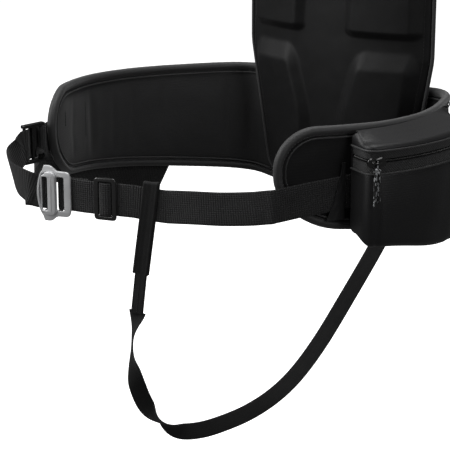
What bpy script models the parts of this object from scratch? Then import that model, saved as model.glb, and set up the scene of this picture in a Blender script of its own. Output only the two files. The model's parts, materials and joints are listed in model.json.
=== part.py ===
"""Hip belt of an avalanche-airbag backpack: lower back panel, two padded wings, metal hook
buckle, leg loop strap and a zipped hip pocket.

Frame: metres, +Z up, the wearer stands on the -Y side. The origin is the centre of the frame
sheet's flat rear face, where the pack bag is fastened. Lengths below are in metres.
"""
import math

import bmesh
import bpy
from mathutils import Matrix, Vector

# ---- driving dimensions -------------------------------------------------------------------
GAP = 0.0003                     # clearance between touching pieces

PANEL_BOTTOM, PANEL_TOP = -0.144, 0.150
PANEL_HALF_BOTTOM, PANEL_HALF_TOP = 0.106, 0.137
PANEL_TAPER_END = 0.030            # height where the panel reaches its full width
PANEL_REAR = 0.0145              # distance of the panel's rear face in front of the origin
PANEL_EDGE = 0.008               # foam thickness at the edge
PANEL_CROWN = 0.026              # extra foam at the centre line
PAD_RISE = 0.010                 # height of the four moulded pads
PANEL_CORNER = 0.020
BINDING_R = 0.002

SHEET_HALF, SHEET_T = 0.100, 0.002
STAY_X, STAY_W, STAY_T = 0.050, 0.012, 0.003

# plan line of the right wing's middle surface; the left wing mirrors it
WING_PLAN = [(0.104, -0.0083), (0.142, -0.0083), (0.168, -0.030), (0.191, -0.075), (0.212, -0.130),
             (0.2237, -0.185), (0.2218, -0.247), (0.2034, -0.3024), (0.1815, -0.3440), (0.1698, -0.3700)]
WING_TOP = (-0.011, 0.0045)       # rim centre line at the root and at the tip
WING_BOTTOM = (-0.153, -0.0950)
TIP_TOP = (0.048, 0.042)         # length and height of the tip's upper rounding
TIP_LOW = (0.078, 0.054)         # and of its lower rounding
RIM_R = 0.0055
PAD_T, SHELL_T = 0.0077, 0.0025
PAD_OFFSET, SHELL_OFFSET = -0.00165, 0.00375

WEB_W, WEB_T = 0.038, 0.0015     # belt webbing
BELT_Z = -0.0835
BELT_DIR = Vector((0.951, 0.309, 0.0)).normalized()
BUCKLE_AT = Vector((-0.077, -0.4615, BELT_Z))
PLATE_T = 0.003
PIN_R = 0.001
PIN_DEPTH = 0.0046               # webbing pins sit this far behind the plate's middle
TONGUE_PIN_X, FRAME_PIN_X = -0.0103, 0.0055

GLIDE_AT_X = 0.0645              # tri-glide's place along the belt, from the buckle's middle
GLIDE_L, GLIDE_H = 0.027, 0.0485
LOOP_AT_X = 0.1200               # leg loop's place along the belt
LOOP_W, LOOP_T = 0.020, 0.0018
LOOP_SLACK = 0.0038              # room between the belt's top edge and the loop's turn
LOOP_LEAN = 0.0145               # sideways drift of the loop's lower end
LOOP_LOW = 0.083                 # the loop's end below the belt's middle

LOCK_AT = Vector((-0.1665, -0.3915, -0.0485))
LOCK_DIR = Vector((-0.05, -0.9987, 0.0)).normalized()
LOCK_BARS = (0.0, 0.013, 0.026)
LOCK_BAR_R = 0.002
LOOP_SIDE = Vector((-0.776, -0.631, 0.0))        # way that the left webbing's loop leans
LOOP_LEAN_MOST, LOOP_LEAN_END = 0.24, 0.70

STRAP_W, STRAP_T = 0.020, 0.0016
ANCHOR_X = 0.092
STRAP_FACES = Vector((0.606, -0.748, 0.269))     # the side that the leg strap's face turns to
# route of the leg strap: middle of the tape, then its twist in degrees
STRAP_ROUTE = [
    ((0.0250, -0.4370, -0.2085), 10), ((0.0211, -0.4380, -0.2240), 60), ((0.0186, -0.4390, -0.2409), 82),
    ((0.0173, -0.4380, -0.2618), 76), ((0.0190, -0.4365, -0.2810), 40), ((0.0206, -0.4340, -0.2997), 5),
    ((0.0251, -0.4250, -0.3245), -15), ((0.0330, -0.4100, -0.3456), -90), ((0.0387, -0.3850, -0.3652), -165),
    ((0.0445, -0.3520, -0.3737), -180), ((0.0524, -0.3150, -0.3739), -180), ((0.0611, -0.2780, -0.3690), -180),
    ((0.0710, -0.2430, -0.3565), -180), ((0.0780, -0.2070, -0.3370), -180), ((0.0835, -0.1650, -0.3045), -180),
    ((0.0900, -0.1180, -0.2570), -180), ((0.0935, -0.0680, -0.2098), -180), ((0.0925, -0.0300, -0.1760), -180),
    ((0.0920, -0.0165, -0.1640), -180)]

POCKET_LOW, POCKET_TOP = -0.122, -0.007
POCKET_WALL = 0.002
POCKET_FOOT_RISE, POCKET_REAR_DROP = 0.010, 0.013
POCKET_CORNER_X = 0.250
POCKET_FRONT_S, POCKET_REAR_S = 0.352, 0.172     # wing lengths where the pocket starts and ends
POCKET_ARC = ((0.2515, -0.3165), (0.2800, -0.2250), (0.2700, -0.1420))   # outer face, in plan
ZIP_Z, ZIP_R = -0.0250, 0.0016
TAPE_LOW, TAPE_HIGH = -0.0385, -0.0145
TAPE_T = 0.0012
PULL_R = 0.0026
SLIDER_ANGLE = 1.8

FINISH = {
    "foam": ((0.016, 0.016, 0.017), 0.75, 0.0), "fabric": ((0.018, 0.018, 0.019), 0.8, 0.0),
    "webbing": ((0.012, 0.012, 0.013), 0.7, 0.0), "plastic": ((0.012, 0.012, 0.012), 0.35, 0.0),
    "metal": ((0.55, 0.56, 0.57), 0.35, 1.0), "nylon": ((0.022, 0.022, 0.024), 0.5, 0.0),
    "cord": ((0.02, 0.02, 0.02), 0.6, 0.0), "alloy": ((0.6, 0.6, 0.62), 0.4, 1.0)}


# ---- helpers ------------------------------------------------------------------------------
def clear_scene():
    for old in list(bpy.data.objects):
        bpy.data.objects.remove(old, do_unlink=True)


def new_collection(name):
    group = bpy.data.collections.new(name)
    bpy.context.scene.collection.children.link(group)
    return group


def finish(obj, kind):
    """Give an object its own Principled material of the named kind."""
    color, rough, metal = FINISH[kind]
    mat = bpy.data.materials.new(obj.name + "_" + kind)
    mat.use_nodes = True
    bsdf = mat.node_tree.nodes["Principled BSDF"]
    bsdf.inputs["Base Color"].default_value = (*color, 1.0)
    bsdf.inputs["Roughness"].default_value = rough
    bsdf.inputs["Metallic"].default_value = metal
    obj.data.materials.clear()
    obj.data.materials.append(mat)
    return obj


def object_from(name, bm, kind, origin=None, smooth=True):
    """Turn a bmesh into a named object whose origin is the given point."""
    bmesh.ops.recalc_face_normals(bm, faces=bm.faces)
    if origin is not None:
        bmesh.ops.translate(bm, verts=bm.verts, vec=-Vector(origin))
    mesh = bpy.data.meshes.new(name)
    bm.to_mesh(mesh)
    bm.free()
    obj = bpy.data.objects.new(name, mesh)
    if origin is not None:
        obj.location = origin
    PARTS.objects.link(obj)
    if smooth:
        mesh.shade_smooth()
        mesh.set_sharp_from_angle(angle=math.radians(35))
    return finish(obj, kind)


def smooth_path(points, steps=4):
    """Catmull-Rom points through a list of vectors."""
    pts = [Vector(p) for p in points]
    pts = [2 * pts[0] - pts[1]] + pts + [2 * pts[-1] - pts[-2]]
    out = []
    for a, b, c, d in zip(pts, pts[1:], pts[2:], pts[3:]):
        for i in range(steps):
            t = i / steps
            out.append(0.5 * (2 * b + (c - a) * t + (2 * a - 5 * b + 4 * c - d) * t * t
                              + (3 * b - a - 3 * c + d) * t ** 3))
    out.append(pts[-2])
    return out


def solidify(obj, thickness):
    mod = obj.modifiers.new("thickness", "SOLIDIFY")
    mod.thickness = thickness
    mod.offset = 0.0
    mod.use_even_offset = True
    return obj


def surface(name, rows, thickness, kind):
    """An open surface through equal rows of points, made solid."""
    bm = bmesh.new()
    grid = [[bm.verts.new(p) for p in row] for row in rows]
    for low, high in zip(grid, grid[1:]):
        for i in range(len(low) - 1):
            bm.faces.new((low[i], low[i + 1], high[i + 1], high[i]))
    return solidify(object_from(name, bm, kind), thickness)


def upright_strap(name, centres, width, thickness, kind="webbing"):
    """A strap on edge: its width stands along Z."""
    half = Vector((0, 0, width / 2))
    return surface(name, [[p - half, p + half] for p in centres], thickness, kind)


def curve_tube(name, points, radius, kind, cyclic=False):
    curve = bpy.data.curves.new(name, "CURVE")
    curve.dimensions = "3D"
    curve.bevel_depth = radius
    curve.bevel_resolution = 2
    curve.use_fill_caps = not cyclic
    spline = curve.splines.new("POLY")
    spline.points.add(len(points) - 1)
    for point, place in zip(spline.points, points):
        point.co = (*place, 1.0)
    spline.use_cyclic_u = cyclic
    obj = bpy.data.objects.new(name, curve)
    PARTS.objects.link(obj)
    return finish(obj, kind)


def flat_outline(name, loops, thickness, kind, frame):
    """A plate from closed 2D loops (outer loop first, then holes), placed by a 4x4 frame."""
    curve = bpy.data.curves.new(name, "CURVE")
    curve.dimensions = "2D"
    curve.fill_mode = "BOTH"
    curve.extrude = thickness / 2
    for loop in loops:
        spline = curve.splines.new("POLY")
        spline.points.add(len(loop) - 1)
        for point, (x, y) in zip(spline.points, loop):
            point.co = (x, y, 0.0, 1.0)
        spline.use_cyclic_u = True
    guide = bpy.data.objects.new(name + "_outline", curve)
    PARTS.objects.link(guide)
    bpy.context.view_layer.update()
    ready = guide.evaluated_get(bpy.context.evaluated_depsgraph_get())
    bm = bmesh.new()
    bm.from_mesh(bpy.data.meshes.new_from_object(ready))
    bpy.data.objects.remove(guide, do_unlink=True)
    bmesh.ops.remove_doubles(bm, verts=bm.verts, dist=1e-6)
    bmesh.ops.transform(bm, matrix=frame, verts=bm.verts)
    return object_from(name, bm, kind)


def rounded_rect(x0, z0, x1, z1, radius, steps=4):
    """Corner points of a rounded rectangle, anticlockwise."""
    out = []
    for cx, cz, start in ((x1 - radius, z1 - radius, 0), (x0 + radius, z1 - radius, 90),
                          (x0 + radius, z0 + radius, 180), (x1 - radius, z0 + radius, 270)):
        for i in range(steps + 1):
            a = math.radians(start + 90 * i / steps)
            out.append((cx + radius * math.cos(a), cz + radius * math.sin(a)))
    return out


def box_solid(name, low, high, kind, frame=None):
    bm = bmesh.new()
    bmesh.ops.create_cube(bm, size=1.0)
    low, high = Vector(low), Vector(high)
    for v in bm.verts:
        v.co = Vector([low[i] + (v.co[i] + 0.5) * (high[i] - low[i]) for i in range(3)])
    if frame is not None:
        bmesh.ops.transform(bm, matrix=frame, verts=bm.verts)
    return object_from(name, bm, kind, smooth=False)


def cylinder_z(name, centre, radius, length, kind):
    bm = bmesh.new()
    bmesh.ops.create_cone(bm, cap_ends=True, segments=16, radius1=radius, radius2=radius, depth=length)
    bmesh.ops.translate(bm, verts=bm.verts, vec=centre)
    return object_from(name, bm, kind)


def make_cutter(obj):
    """Move an object to the cutters, hidden from render."""
    PARTS.objects.unlink(obj)
    CUTTERS.objects.link(obj)
    obj.hide_render = True
    obj.display_type = "WIRE"
    return obj


def boolean(obj, other, operation):
    mod = obj.modifiers.new(operation.lower(), "BOOLEAN")
    mod.operation = operation
    mod.solver = "EXACT"
    mod.object = make_cutter(other)


def set_origin(obj, origin):
    """Move an object's origin without moving its shape."""
    obj.data.transform(Matrix.Translation(-Vector(origin)))
    obj.location = origin


def belt_frame(along, depth=0.0, height=0.0):
    """Local frame on the belt: X along it, Y away from the viewer side, Z up."""
    back = Vector((-BELT_DIR.y, BELT_DIR.x, 0))
    place = BUCKLE_AT + BELT_DIR * along + back * depth + Vector((0, 0, height))
    axes = Matrix((BELT_DIR, back, Vector((0, 0, 1)))).transposed()
    return Matrix.Translation(place) @ axes.to_4x4()


def lock_frame():
    outer = Vector((LOCK_DIR.y, -LOCK_DIR.x, 0))
    axes = Matrix((LOCK_DIR, outer, Vector((0, 0, 1)))).transposed()
    return Matrix.Translation(LOCK_AT) @ axes.to_4x4()


UPRIGHT = Matrix.Rotation(math.radians(90), 4, "X")      # lays a 2D outline into the XZ plane


# ---- back panel ---------------------------------------------------------------------------
def panel_half(z):
    t = min(max((z - PANEL_BOTTOM) / (PANEL_TAPER_END - PANEL_BOTTOM), 0.0), 1.0)
    return PANEL_HALF_BOTTOM + (PANEL_HALF_TOP - PANEL_HALF_BOTTOM) * t


def ramp(value, low, high):
    t = min(max((value - low) / (high - low), 0.0), 1.0)
    return t * t * (3 - 2 * t)


def pad_rise(x, z):
    """Height of the moulded pads: a lower and an upper pair beside a channel."""
    ax = abs(x)
    outer = panel_half(z)
    side = ramp(outer - ax, 0.006, 0.020)
    channel = 0.020 + 0.022 * ramp(z, -0.060, 0.040)
    lower = ramp(z, -0.142, -0.126) * ramp(0.040 - z, 0.0, 0.026) * ramp(ax, channel, channel + 0.016)
    upper = ramp(z, 0.054, 0.068) * ramp(0.146 - z, 0.0, 0.014) * ramp(ax, 0.030, 0.044)
    return PAD_RISE * side * max(lower, upper)


def panel_front(x, z):
    """Depth of the panel's front face at a point."""
    u = min(abs(x) / panel_half(z), 1.0)
    lumbar = 0.006 * math.exp(-((z - 0.010) / 0.09) ** 2)
    crown = (PANEL_CROWN + lumbar) * (1 - u * u)
    return -(PANEL_REAR + PANEL_EDGE + crown + pad_rise(x, z))


def make_panel():
    across, up = 26, 30
    bm = bmesh.new()
    bmesh.ops.create_grid(bm, x_segments=across, y_segments=up, size=1.0)
    for v in bm.verts:
        z = PANEL_BOTTOM + (v.co.y + 1) / 2 * (PANEL_TOP - PANEL_BOTTOM)
        cut = max(0.0, PANEL_CORNER - (z - PANEL_BOTTOM), PANEL_CORNER - (PANEL_TOP - z))
        half = panel_half(z) - (PANEL_CORNER - math.sqrt(max(PANEL_CORNER ** 2 - cut ** 2, 0.0)))
        x = v.co.x * half
        v.co = (x, panel_front(x, z), z)
    made = bmesh.ops.extrude_face_region(bm, geom=bm.faces[:])
    for v in made["geom"]:
        if isinstance(v, bmesh.types.BMVert):
            v.co.y = -PANEL_REAR
    object_from("back_panel", bm, "foam")


def panel_outline(grow):
    """Plan of the panel's edge, grown outwards."""
    right = []
    for i in range(7):
        a = math.radians(-90 + 15 * i)
        z = PANEL_BOTTOM + PANEL_CORNER * (1 + math.sin(a))
        right.append((panel_half(z) - PANEL_CORNER + (PANEL_CORNER + grow) * math.cos(a), z + grow * math.sin(a)))
    right += [(panel_half(z) + grow, z) for z in (-0.10, -0.05, 0.0, PANEL_TAPER_END, 0.06)]
    for i in range(7):
        a = math.radians(15 * i)
        z = PANEL_TOP - PANEL_CORNER * (1 - math.sin(a))
        right.append((panel_half(z) - PANEL_CORNER + (PANEL_CORNER + grow) * math.cos(a), z + grow * math.sin(a)))
    return right + [(-x, z) for x, z in reversed(right)]


def make_panel_backing():
    grow = BINDING_R + 5 * GAP
    depth = -(PANEL_REAR + PANEL_EDGE / 2)
    curve_tube("panel_binding", [(x, depth, z) for x, z in panel_outline(grow)], BINDING_R, "fabric", cyclic=True)
    plate = rounded_rect(-SHEET_HALF, PANEL_BOTTOM + 0.004, SHEET_HALF, PANEL_TOP - 0.004, 0.015)
    frame = Matrix.Translation((0, -SHEET_T / 2, 0)) @ UPRIGHT
    flat_outline("frame_sheet", [plate], SHEET_T, "plastic", frame)
    rear, front = -(SHEET_T + GAP), -(PANEL_REAR - GAP)
    core = box_solid("lumbar_core", (-SHEET_HALF + 0.002, front, -0.142), (SHEET_HALF - 0.002, rear, 0.142), "foam")
    for side, name in ((-1, "stay_left"), (1, "stay_right")):
        x = side * STAY_X
        groove = box_solid(name + "_groove", (x - STAY_W / 2 - GAP, rear - STAY_T - 2 * GAP, -0.15),
                           (x + STAY_W / 2 + GAP, rear + 0.002, 0.15), "foam")
        boolean(core, groove, "DIFFERENCE")
        box_solid(name, (x - STAY_W / 2, rear - STAY_T - GAP, -0.138), (x + STAY_W / 2, rear - GAP, 0.138), "alloy")


# ---- wings --------------------------------------------------------------------------------
WING_LINE = smooth_path([(x, y, 0) for x, y in WING_PLAN], 8)
WING_LENGTHS = [0.0]
for first, second in zip(WING_LINE, WING_LINE[1:]):
    WING_LENGTHS.append(WING_LENGTHS[-1] + (second - first).length)
WING_LENGTH = WING_LENGTHS[-1]


def wing_plan(s, offset=0.0, side=1):
    """Plan point at length s along the wing, moved away from the wearer by offset."""
    index = 0
    while index < len(WING_LENGTHS) - 2 and WING_LENGTHS[index + 1] < s:
        index += 1
    a, b = WING_LINE[index], WING_LINE[index + 1]
    run = WING_LENGTHS[index + 1] - WING_LENGTHS[index]
    point = a + (b - a) * ((s - WING_LENGTHS[index]) / run)
    before = WING_LINE[max(index - 1, 0)]
    after = WING_LINE[min(index + 2, len(WING_LINE) - 1)]
    along = (after - before).normalized()
    out = Vector((-along.y, along.x, 0))
    point = point + out * offset
    return Vector((side * point.x, point.y, 0))


def wing_edges(s, inset):
    """Bottom and top height of the wing at length s, inset from the rim's centre line."""
    t = s / WING_LENGTH
    top = WING_TOP[0] + (WING_TOP[1] - WING_TOP[0]) * t - inset
    bottom = WING_BOTTOM[0] + (WING_BOTTOM[1] - WING_BOTTOM[0]) * t + inset
    end = WING_LENGTH - inset
    drops = []
    for long, high in (TIP_TOP, TIP_LOW):
        over = max(0.0, s - (end - (long - inset))) / (long - inset)
        drops.append((high - inset) * (1 - math.sqrt(max(1 - over ** 2, 0.0))))
    return bottom + drops[1], top - drops[0]


def wing_stations(inset):
    """Lengths along the wing, closer together round the tip."""
    end = WING_LENGTH - inset
    start = end - TIP_LOW[0] + inset
    straight = [0.004 + (start - 0.004) * i / 18 for i in range(18)]
    round_part = [start + (end - start) * math.sin(math.radians(90 * i / 9)) for i in range(10)]
    return straight + round_part


def make_wing(side, label):
    inset = RIM_R + 4 * GAP
    rows_pad, rows_shell = [], []
    for s in wing_stations(inset):
        bottom, top = wing_edges(s, inset)
        heights = [bottom + (top - bottom) * i / 4 for i in range(5)]
        inner, outer = wing_plan(s, PAD_OFFSET, side), wing_plan(s, SHELL_OFFSET, side)
        rows_pad.append([inner + Vector((0, 0, z)) for z in heights])
        rows_shell.append([outer + Vector((0, 0, z)) for z in heights])
    surface("wing_pad_" + label, rows_pad, PAD_T, "foam")
    surface("wing_shell_" + label, rows_shell, SHELL_T, "fabric")
    upper = [(wing_plan(s, 0, side), wing_edges(s, 0.0)[1]) for s in wing_stations(0.0)]
    lower = [(wing_plan(s, 0, side), wing_edges(s, 0.0)[0]) for s in wing_stations(0.0)]
    line = [p + Vector((0, 0, z)) for p, z in upper] + [p + Vector((0, 0, z)) for p, z in reversed(lower)]
    curve_tube("wing_rim_" + label, line, RIM_R, "fabric")


# ---- webbing, lock and buckle -------------------------------------------------------------
def belt_point(x, y, z=0.0):
    """A point given in the buckle's frame."""
    return belt_frame(0) @ Vector((x, y, z))


def pin_wrap(pin_x, side, lead):
    """Webbing round a vertical pin: the short end, the half turn, then the long side's start."""
    r = PIN_R + GAP + WEB_T / 2
    back = PIN_DEPTH + r
    front = PIN_DEPTH - r
    points = [belt_point(pin_x + side * lead, back)]
    points += [belt_point(pin_x + side * 0.004, back)]
    for i in range(7):
        a = math.radians(90 - 30 * i)
        points.append(belt_point(pin_x - side * r * math.cos(a), PIN_DEPTH + r * math.sin(a)))
    points += [belt_point(pin_x + side * 0.004, front)]
    return points


def make_right_webbing():
    wrap = pin_wrap(FRAME_PIN_X, 1, 0.034)
    behind = PLATE_T / 2 + GAP + WEB_T / 2
    straight = [belt_point(x, y, z) for x, y, z in (
        (0.014, behind, 0.0), (0.0225, behind, 0.0), (0.034, 0.0008, 0.0), (0.044, 0.0, 0.0), (0.064, 0.0, 0.0),
        (0.098, 0.0, 0.0), (0.110, 0.0, -0.0010), (0.125, 0.0, -0.0020), (0.138, 0.0, -0.0024))]
    bend = [Vector(p) for p in ((0.085, -0.4130, -0.0830), (0.118, -0.4025, -0.0812), (0.148, -0.3918, -0.0780),
                                (0.164, -0.3840, -0.0756), (0.1717, -0.3804, -0.0742))]
    free = straight + smooth_path([straight[-1]] + bend + [wing_point_out(WING_LENGTH, -0.0735)], 4)[1:-1]
    on_wing = []
    for i in range(8):
        s = WING_LENGTH - i * (WING_LENGTH - POCKET_FRONT_S + 0.022) / 7
        on_wing.append(wing_point_out(s, -0.0735 + 0.009 * i / 7))
    upright_strap("right_webbing", wrap + free + on_wing, WEB_W, WEB_T)


def wing_point_out(s, z, side=1, extra=0.0):
    """A point just outside the wing's rim, where webbing lies on the wing."""
    return wing_plan(s, 0.0066 + extra, side) + Vector((0, 0, z))


def loop_lean(t):
    """How far the left webbing leans out, from the buckle (0) to the ladder lock (1)."""
    t = min(max(t / LOOP_LEAN_END, 0.0), 1.0)
    return LOOP_LEAN_MOST * math.sin(math.pi * t ** 1.4) ** 1.3


def make_left_webbing():
    wrap = pin_wrap(TONGUE_PIN_X, -1, 0.030)
    lock = lock_frame()
    r = LOCK_BAR_R + GAP + WEB_T / 2
    loop = smooth_path([belt_point(-0.0225, 0.0028), (-0.110, -0.4702, -0.0785), (-0.130, -0.4672, -0.0745),
                        (-0.148, -0.4585, -0.0690), (-0.1605, -0.4460, -0.0625),
                        lock @ Vector((LOCK_BARS[2] + 0.009, -r - 0.0012, -0.005)),
                        lock @ Vector((LOCK_BARS[2] + 0.0045, -r - 0.0003, -0.0006)),
                        lock @ Vector((LOCK_BARS[2] + 0.001, -r, 0))], 4)
    lock_part = [lock @ Vector(p) for p in ((0.0235, -r, 0), (0.0205, -0.0012, 0), (0.0172, 0.0016, 0),
                                            (0.015, r, 0), (0.013, r + 0.0002, 0), (0.007, r + 0.0012, 0),
                                            (0.0, 0.0052, 0))]
    tail = smooth_path([lock_part[-1], (-0.1840, -0.3860, -0.0690), (-0.2050, -0.3610, -0.0870),
                        (-0.2250, -0.3120, -0.1030), (-0.2350, -0.2550, -0.1200),
                        (-0.2375, -0.1950, -0.1380), (-0.2310, -0.1550, -0.1465), (-0.2165, -0.1040, -0.1540)], 4)
    centres = wrap + loop + lock_part + tail[1:]
    rows = []
    for i, p in enumerate(centres):
        lean = loop_lean((i - len(wrap)) / (len(loop) - 1))
        half = (Vector((0, 0, 1)) + LOOP_SIDE * lean).normalized() * WEB_W / 2
        rows.append([p - half, p + half])
    rows[-1][0] = rows[-1][0] + (centres[-2] - centres[-1]) * 0.9       # slanting cut end
    surface("left_webbing", rows, WEB_T, "webbing")


def make_anchor_webbing():
    lock = lock_frame()
    r = LOCK_BAR_R + GAP + WEB_T / 2
    on_wing = [wing_point_out(WING_LENGTH - 0.055 + 0.0115 * i, LOCK_AT.z, -1) for i in range(5)]
    turn = []
    for i in range(7):
        a = math.radians(90 - 30 * i)
        turn.append(lock @ Vector((r * math.cos(a), r * math.sin(a), 0)))
    end = [lock @ Vector((-0.003, -r, 0)), lock @ Vector((-0.006, -r + 0.0006, 0))]
    approach = [lock @ Vector((-0.004, r + 0.0006, 0))]
    upright_strap("left_anchor_webbing", on_wing + approach + turn + end, WEB_W, WEB_T)


def make_ladder_lock():
    """Plastic adjuster: two side rails joined by three upright bars."""
    frame = lock_frame()
    rail_low, rail_high = 0.0198, 0.0238
    first = None
    for sign in (-1, 1):
        low, high = sorted((sign * rail_low, sign * rail_high))
        rail = box_solid("ladder_lock" if first is None else "lock_rail",
                         (-0.004, -0.0035, low), (0.0285, 0.0035, high), "plastic", frame)
        if first is None:
            first = rail
        else:
            boolean(first, rail, "UNION")
    for bar in LOCK_BARS:
        place = frame @ Vector((bar, 0, 0))
        boolean(first, cylinder_z("lock_bar", place, LOCK_BAR_R, 2 * rail_low + 0.004, "plastic"), "UNION")


def buckle_frame_loops():
    """Outline, tongue window and webbing slot of the buckle's frame plate, in its XZ plane."""
    half = [(0.0210, 0.000), (0.0210, 0.018), (0.0195, 0.0235), (0.0165, 0.0258), (0.0100, 0.0262),
            (0.0045, 0.0265), (0.0005, 0.0290), (-0.0035, 0.0318), (-0.0100, 0.0322), (-0.0122, 0.0312),
            (-0.0140, 0.0265), (-0.0170, 0.0220), (-0.0195, 0.0140), (-0.0208, 0.0070)]
    outer = half + [(-0.0212, 0.0)] + [(x, -z) for x, z in reversed(half[1:])]
    slot = rounded_rect(0.0030, -0.0196, 0.0127, 0.0196, 0.002)
    window = [(-0.0012, 0.0240), (-0.0130, 0.0240), (-0.0160, 0.0190), (-0.0176, 0.0090)]
    window = window + [(-0.0180, 0.0)] + [(x, -z) for x, z in reversed(window)]
    return [outer, slot, window]


def tongue_outline():
    """Outline of the hook tongue: tall over the frame's bars, lower where it tilts into the window."""
    half = [(0.0030, 0.0), (0.0030, 0.0200), (0.0021, 0.0230), (-0.0005, 0.0247), (-0.0030, 0.0250),
            (-0.0070, 0.0250), (-0.0092, 0.0243), (-0.0104, 0.0222), (-0.0118, 0.0216), (-0.0138, 0.0200),
            (-0.0148, 0.0175), (-0.0148, 0.0)]
    return half + [(x, -z) for x, z in reversed(half[1:-1])]


def make_buckle():
    frame = belt_frame(0) @ UPRIGHT
    plate = flat_outline("buckle_frame", buckle_frame_loops(), PLATE_T, "metal", frame)
    axes = belt_frame(0)
    for sign in (-1, 1):
        low, high = sorted((sign * 0.0196, sign * 0.0232))
        ear = box_solid("frame_ear", (FRAME_PIN_X - 0.0022, 0.0010, low), (FRAME_PIN_X + 0.0022, 0.0070, high),
                        "metal", axes)
        boolean(plate, ear, "UNION")
    pin = cylinder_z("frame_pin", belt_point(FRAME_PIN_X, PIN_DEPTH), PIN_R, 0.0420, "metal")
    boolean(plate, pin, "UNION")
    depth = -(PLATE_T + GAP)
    tongue_frame = belt_frame(0, depth) @ UPRIGHT
    slot = rounded_rect(-0.0135, -0.0196, -0.0064, 0.0196, 0.002)
    tongue = flat_outline("buckle_tongue", [tongue_outline(), slot], PLATE_T, "metal", tongue_frame)
    for sign in (-1, 1):
        low, high = sorted((sign * 0.0196, sign * 0.0226))
        ear = box_solid("tongue_ear", (TONGUE_PIN_X - 0.0020, -0.0025, low), (TONGUE_PIN_X + 0.0020, 0.0062, high),
                        "metal", axes)
        boolean(tongue, ear, "UNION")
    pin = cylinder_z("tongue_pin", belt_point(TONGUE_PIN_X, PIN_DEPTH), PIN_R, 0.0420, "metal")
    boolean(tongue, pin, "UNION")
    set_origin(tongue, belt_point(TONGUE_PIN_X, PIN_DEPTH))


def make_tri_glide():
    """Slider: a front ring and a bar behind the webbing, joined above and below it."""
    axes = belt_frame(GLIDE_AT_X)
    front = WEB_T / 2 + GAP
    ring_t = 0.0026
    outer = rounded_rect(-GLIDE_L / 2, -GLIDE_H / 2, GLIDE_L / 2, GLIDE_H / 2, 0.004)
    hole = rounded_rect(-0.0082, -0.0196, 0.0082, 0.0196, 0.0015)
    frame = belt_frame(GLIDE_AT_X, -(front + ring_t / 2)) @ UPRIGHT
    glide = flat_outline("tri_glide", [outer, hole], ring_t, "plastic", frame)
    for sign in (-1, 1):
        low, high = sorted((sign * 0.0196, sign * 0.0235))
        boolean(glide, box_solid("glide_post", (-0.0100, -front - 0.001, low), (0.0100, front + 0.001, high),
                                 "plastic", axes), "UNION")
    bar = box_solid("glide_bar", (-0.0040, front, -0.0235), (0.0040, front + 0.0022, 0.0235), "plastic", axes)
    boolean(glide, bar, "UNION")
    set_origin(glide, belt_frame(GLIDE_AT_X).translation)


# ---- leg loop and strap -------------------------------------------------------------------
def make_leg_loop():
    """Tape sleeve over the belt, its two layers closing below and drifting to one side."""
    r = WEB_T / 2 + GAP + LOOP_T / 2
    top = WEB_W / 2 + LOOP_SLACK
    path = [(0.0, r, -LOOP_LOW), (0.0, r, -0.045), (0.0, r, -0.019), (0.0, r, 0.0), (0.0, r, top - 0.001)]
    for i in range(1, 6):
        a = math.radians(30 * i)
        path.append((0.0, r * math.cos(a), top - 0.001 + r * math.sin(a)))
    path += [(0.0, -r, top - 0.001), (0.0, -r, 0.0), (0.0, -r, -0.019), (0.0, -r, -0.045), (0.0, -r, -LOOP_LOW)]
    bm_rows = []
    for x, y, z in path:
        down = min(max((WEB_W / 2 - z) / (WEB_W / 2 + LOOP_LOW), 0.0), 1.0)
        half = LOOP_W / 2 * (1 - 0.12 * down)
        rows = [belt_frame(LOOP_AT_X) @ Vector((dx - LOOP_LEAN * down, y, z)) for dx in (-half, half)]
        bm_rows.append(rows)
    surface("leg_loop", bm_rows, LOOP_T, "webbing")


def strap_width_vector(tangent, twist):
    flat = tangent.cross(STRAP_FACES).normalized()
    turn = Matrix.Rotation(math.radians(twist), 3, tangent)
    return turn @ flat


def make_leg_strap():
    centres = smooth_path([p for p, _ in STRAP_ROUTE], 3)
    twists = smooth_path([(t, 0, 0) for _, t in STRAP_ROUTE], 3)
    rows = []
    for i, p in enumerate(centres):
        before, after = centres[max(i - 1, 0)], centres[min(i + 1, len(centres) - 1)]
        tangent = (after - before).normalized()
        half = strap_width_vector(tangent, twists[i].x) * STRAP_W / 2
        rows.append([p - half, p + half])
    surface("leg_strap", rows, STRAP_T, "webbing")
    # stitched joint between the sleeve's layers and the strap
    top = belt_frame(LOOP_AT_X) @ Vector((-LOOP_LEAN, 0, -LOOP_LOW - 0.0015))
    end = centres[0] + Vector((0, 0, 0.0050))
    joint = []
    for i in range(5):
        t = i / 4
        p = top.lerp(end, t)
        half = BELT_DIR * (0.0085 - 0.001 * t)
        joint.append([p - half, p + half])
    surface("strap_joint", joint, 0.0042, "webbing")
    anchor = [Vector((ANCHOR_X, y, z)) for y, z in ((-0.0152, -0.1622), (-0.0130, -0.1590), (-0.0108, -0.1550),
                                                    (-0.0105, -0.1450))]
    half = Vector((0.0125, 0, 0))
    surface("strap_anchor", [[p - half, p + half] for p in anchor], 0.0016, "webbing")


# ---- hip pocket ---------------------------------------------------------------------------
def arc_centre():
    """Centre and radius of the circle through the pocket's three outer points."""
    (ax, ay), (bx, by), (cx, cy) = POCKET_ARC
    d = 2 * (ax * (by - cy) + bx * (cy - ay) + cx * (ay - by))
    ux = ((ax * ax + ay * ay) * (by - cy) + (bx * bx + by * by) * (cy - ay) + (cx * cx + cy * cy) * (ay - by)) / d
    uy = ((ax * ax + ay * ay) * (cx - bx) + (bx * bx + by * by) * (ax - cx) + (cx * cx + cy * cy) * (bx - ax)) / d
    centre = Vector((ux, uy, 0))
    return centre, (Vector((ax, ay, 0)) - centre).length


ARC_CENTRE, ARC_RADIUS = arc_centre()


def arc_point(angle, grow=0.0):
    a = math.radians(angle)
    return ARC_CENTRE + Vector((math.cos(a), math.sin(a), 0)) * (ARC_RADIUS + grow)


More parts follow.
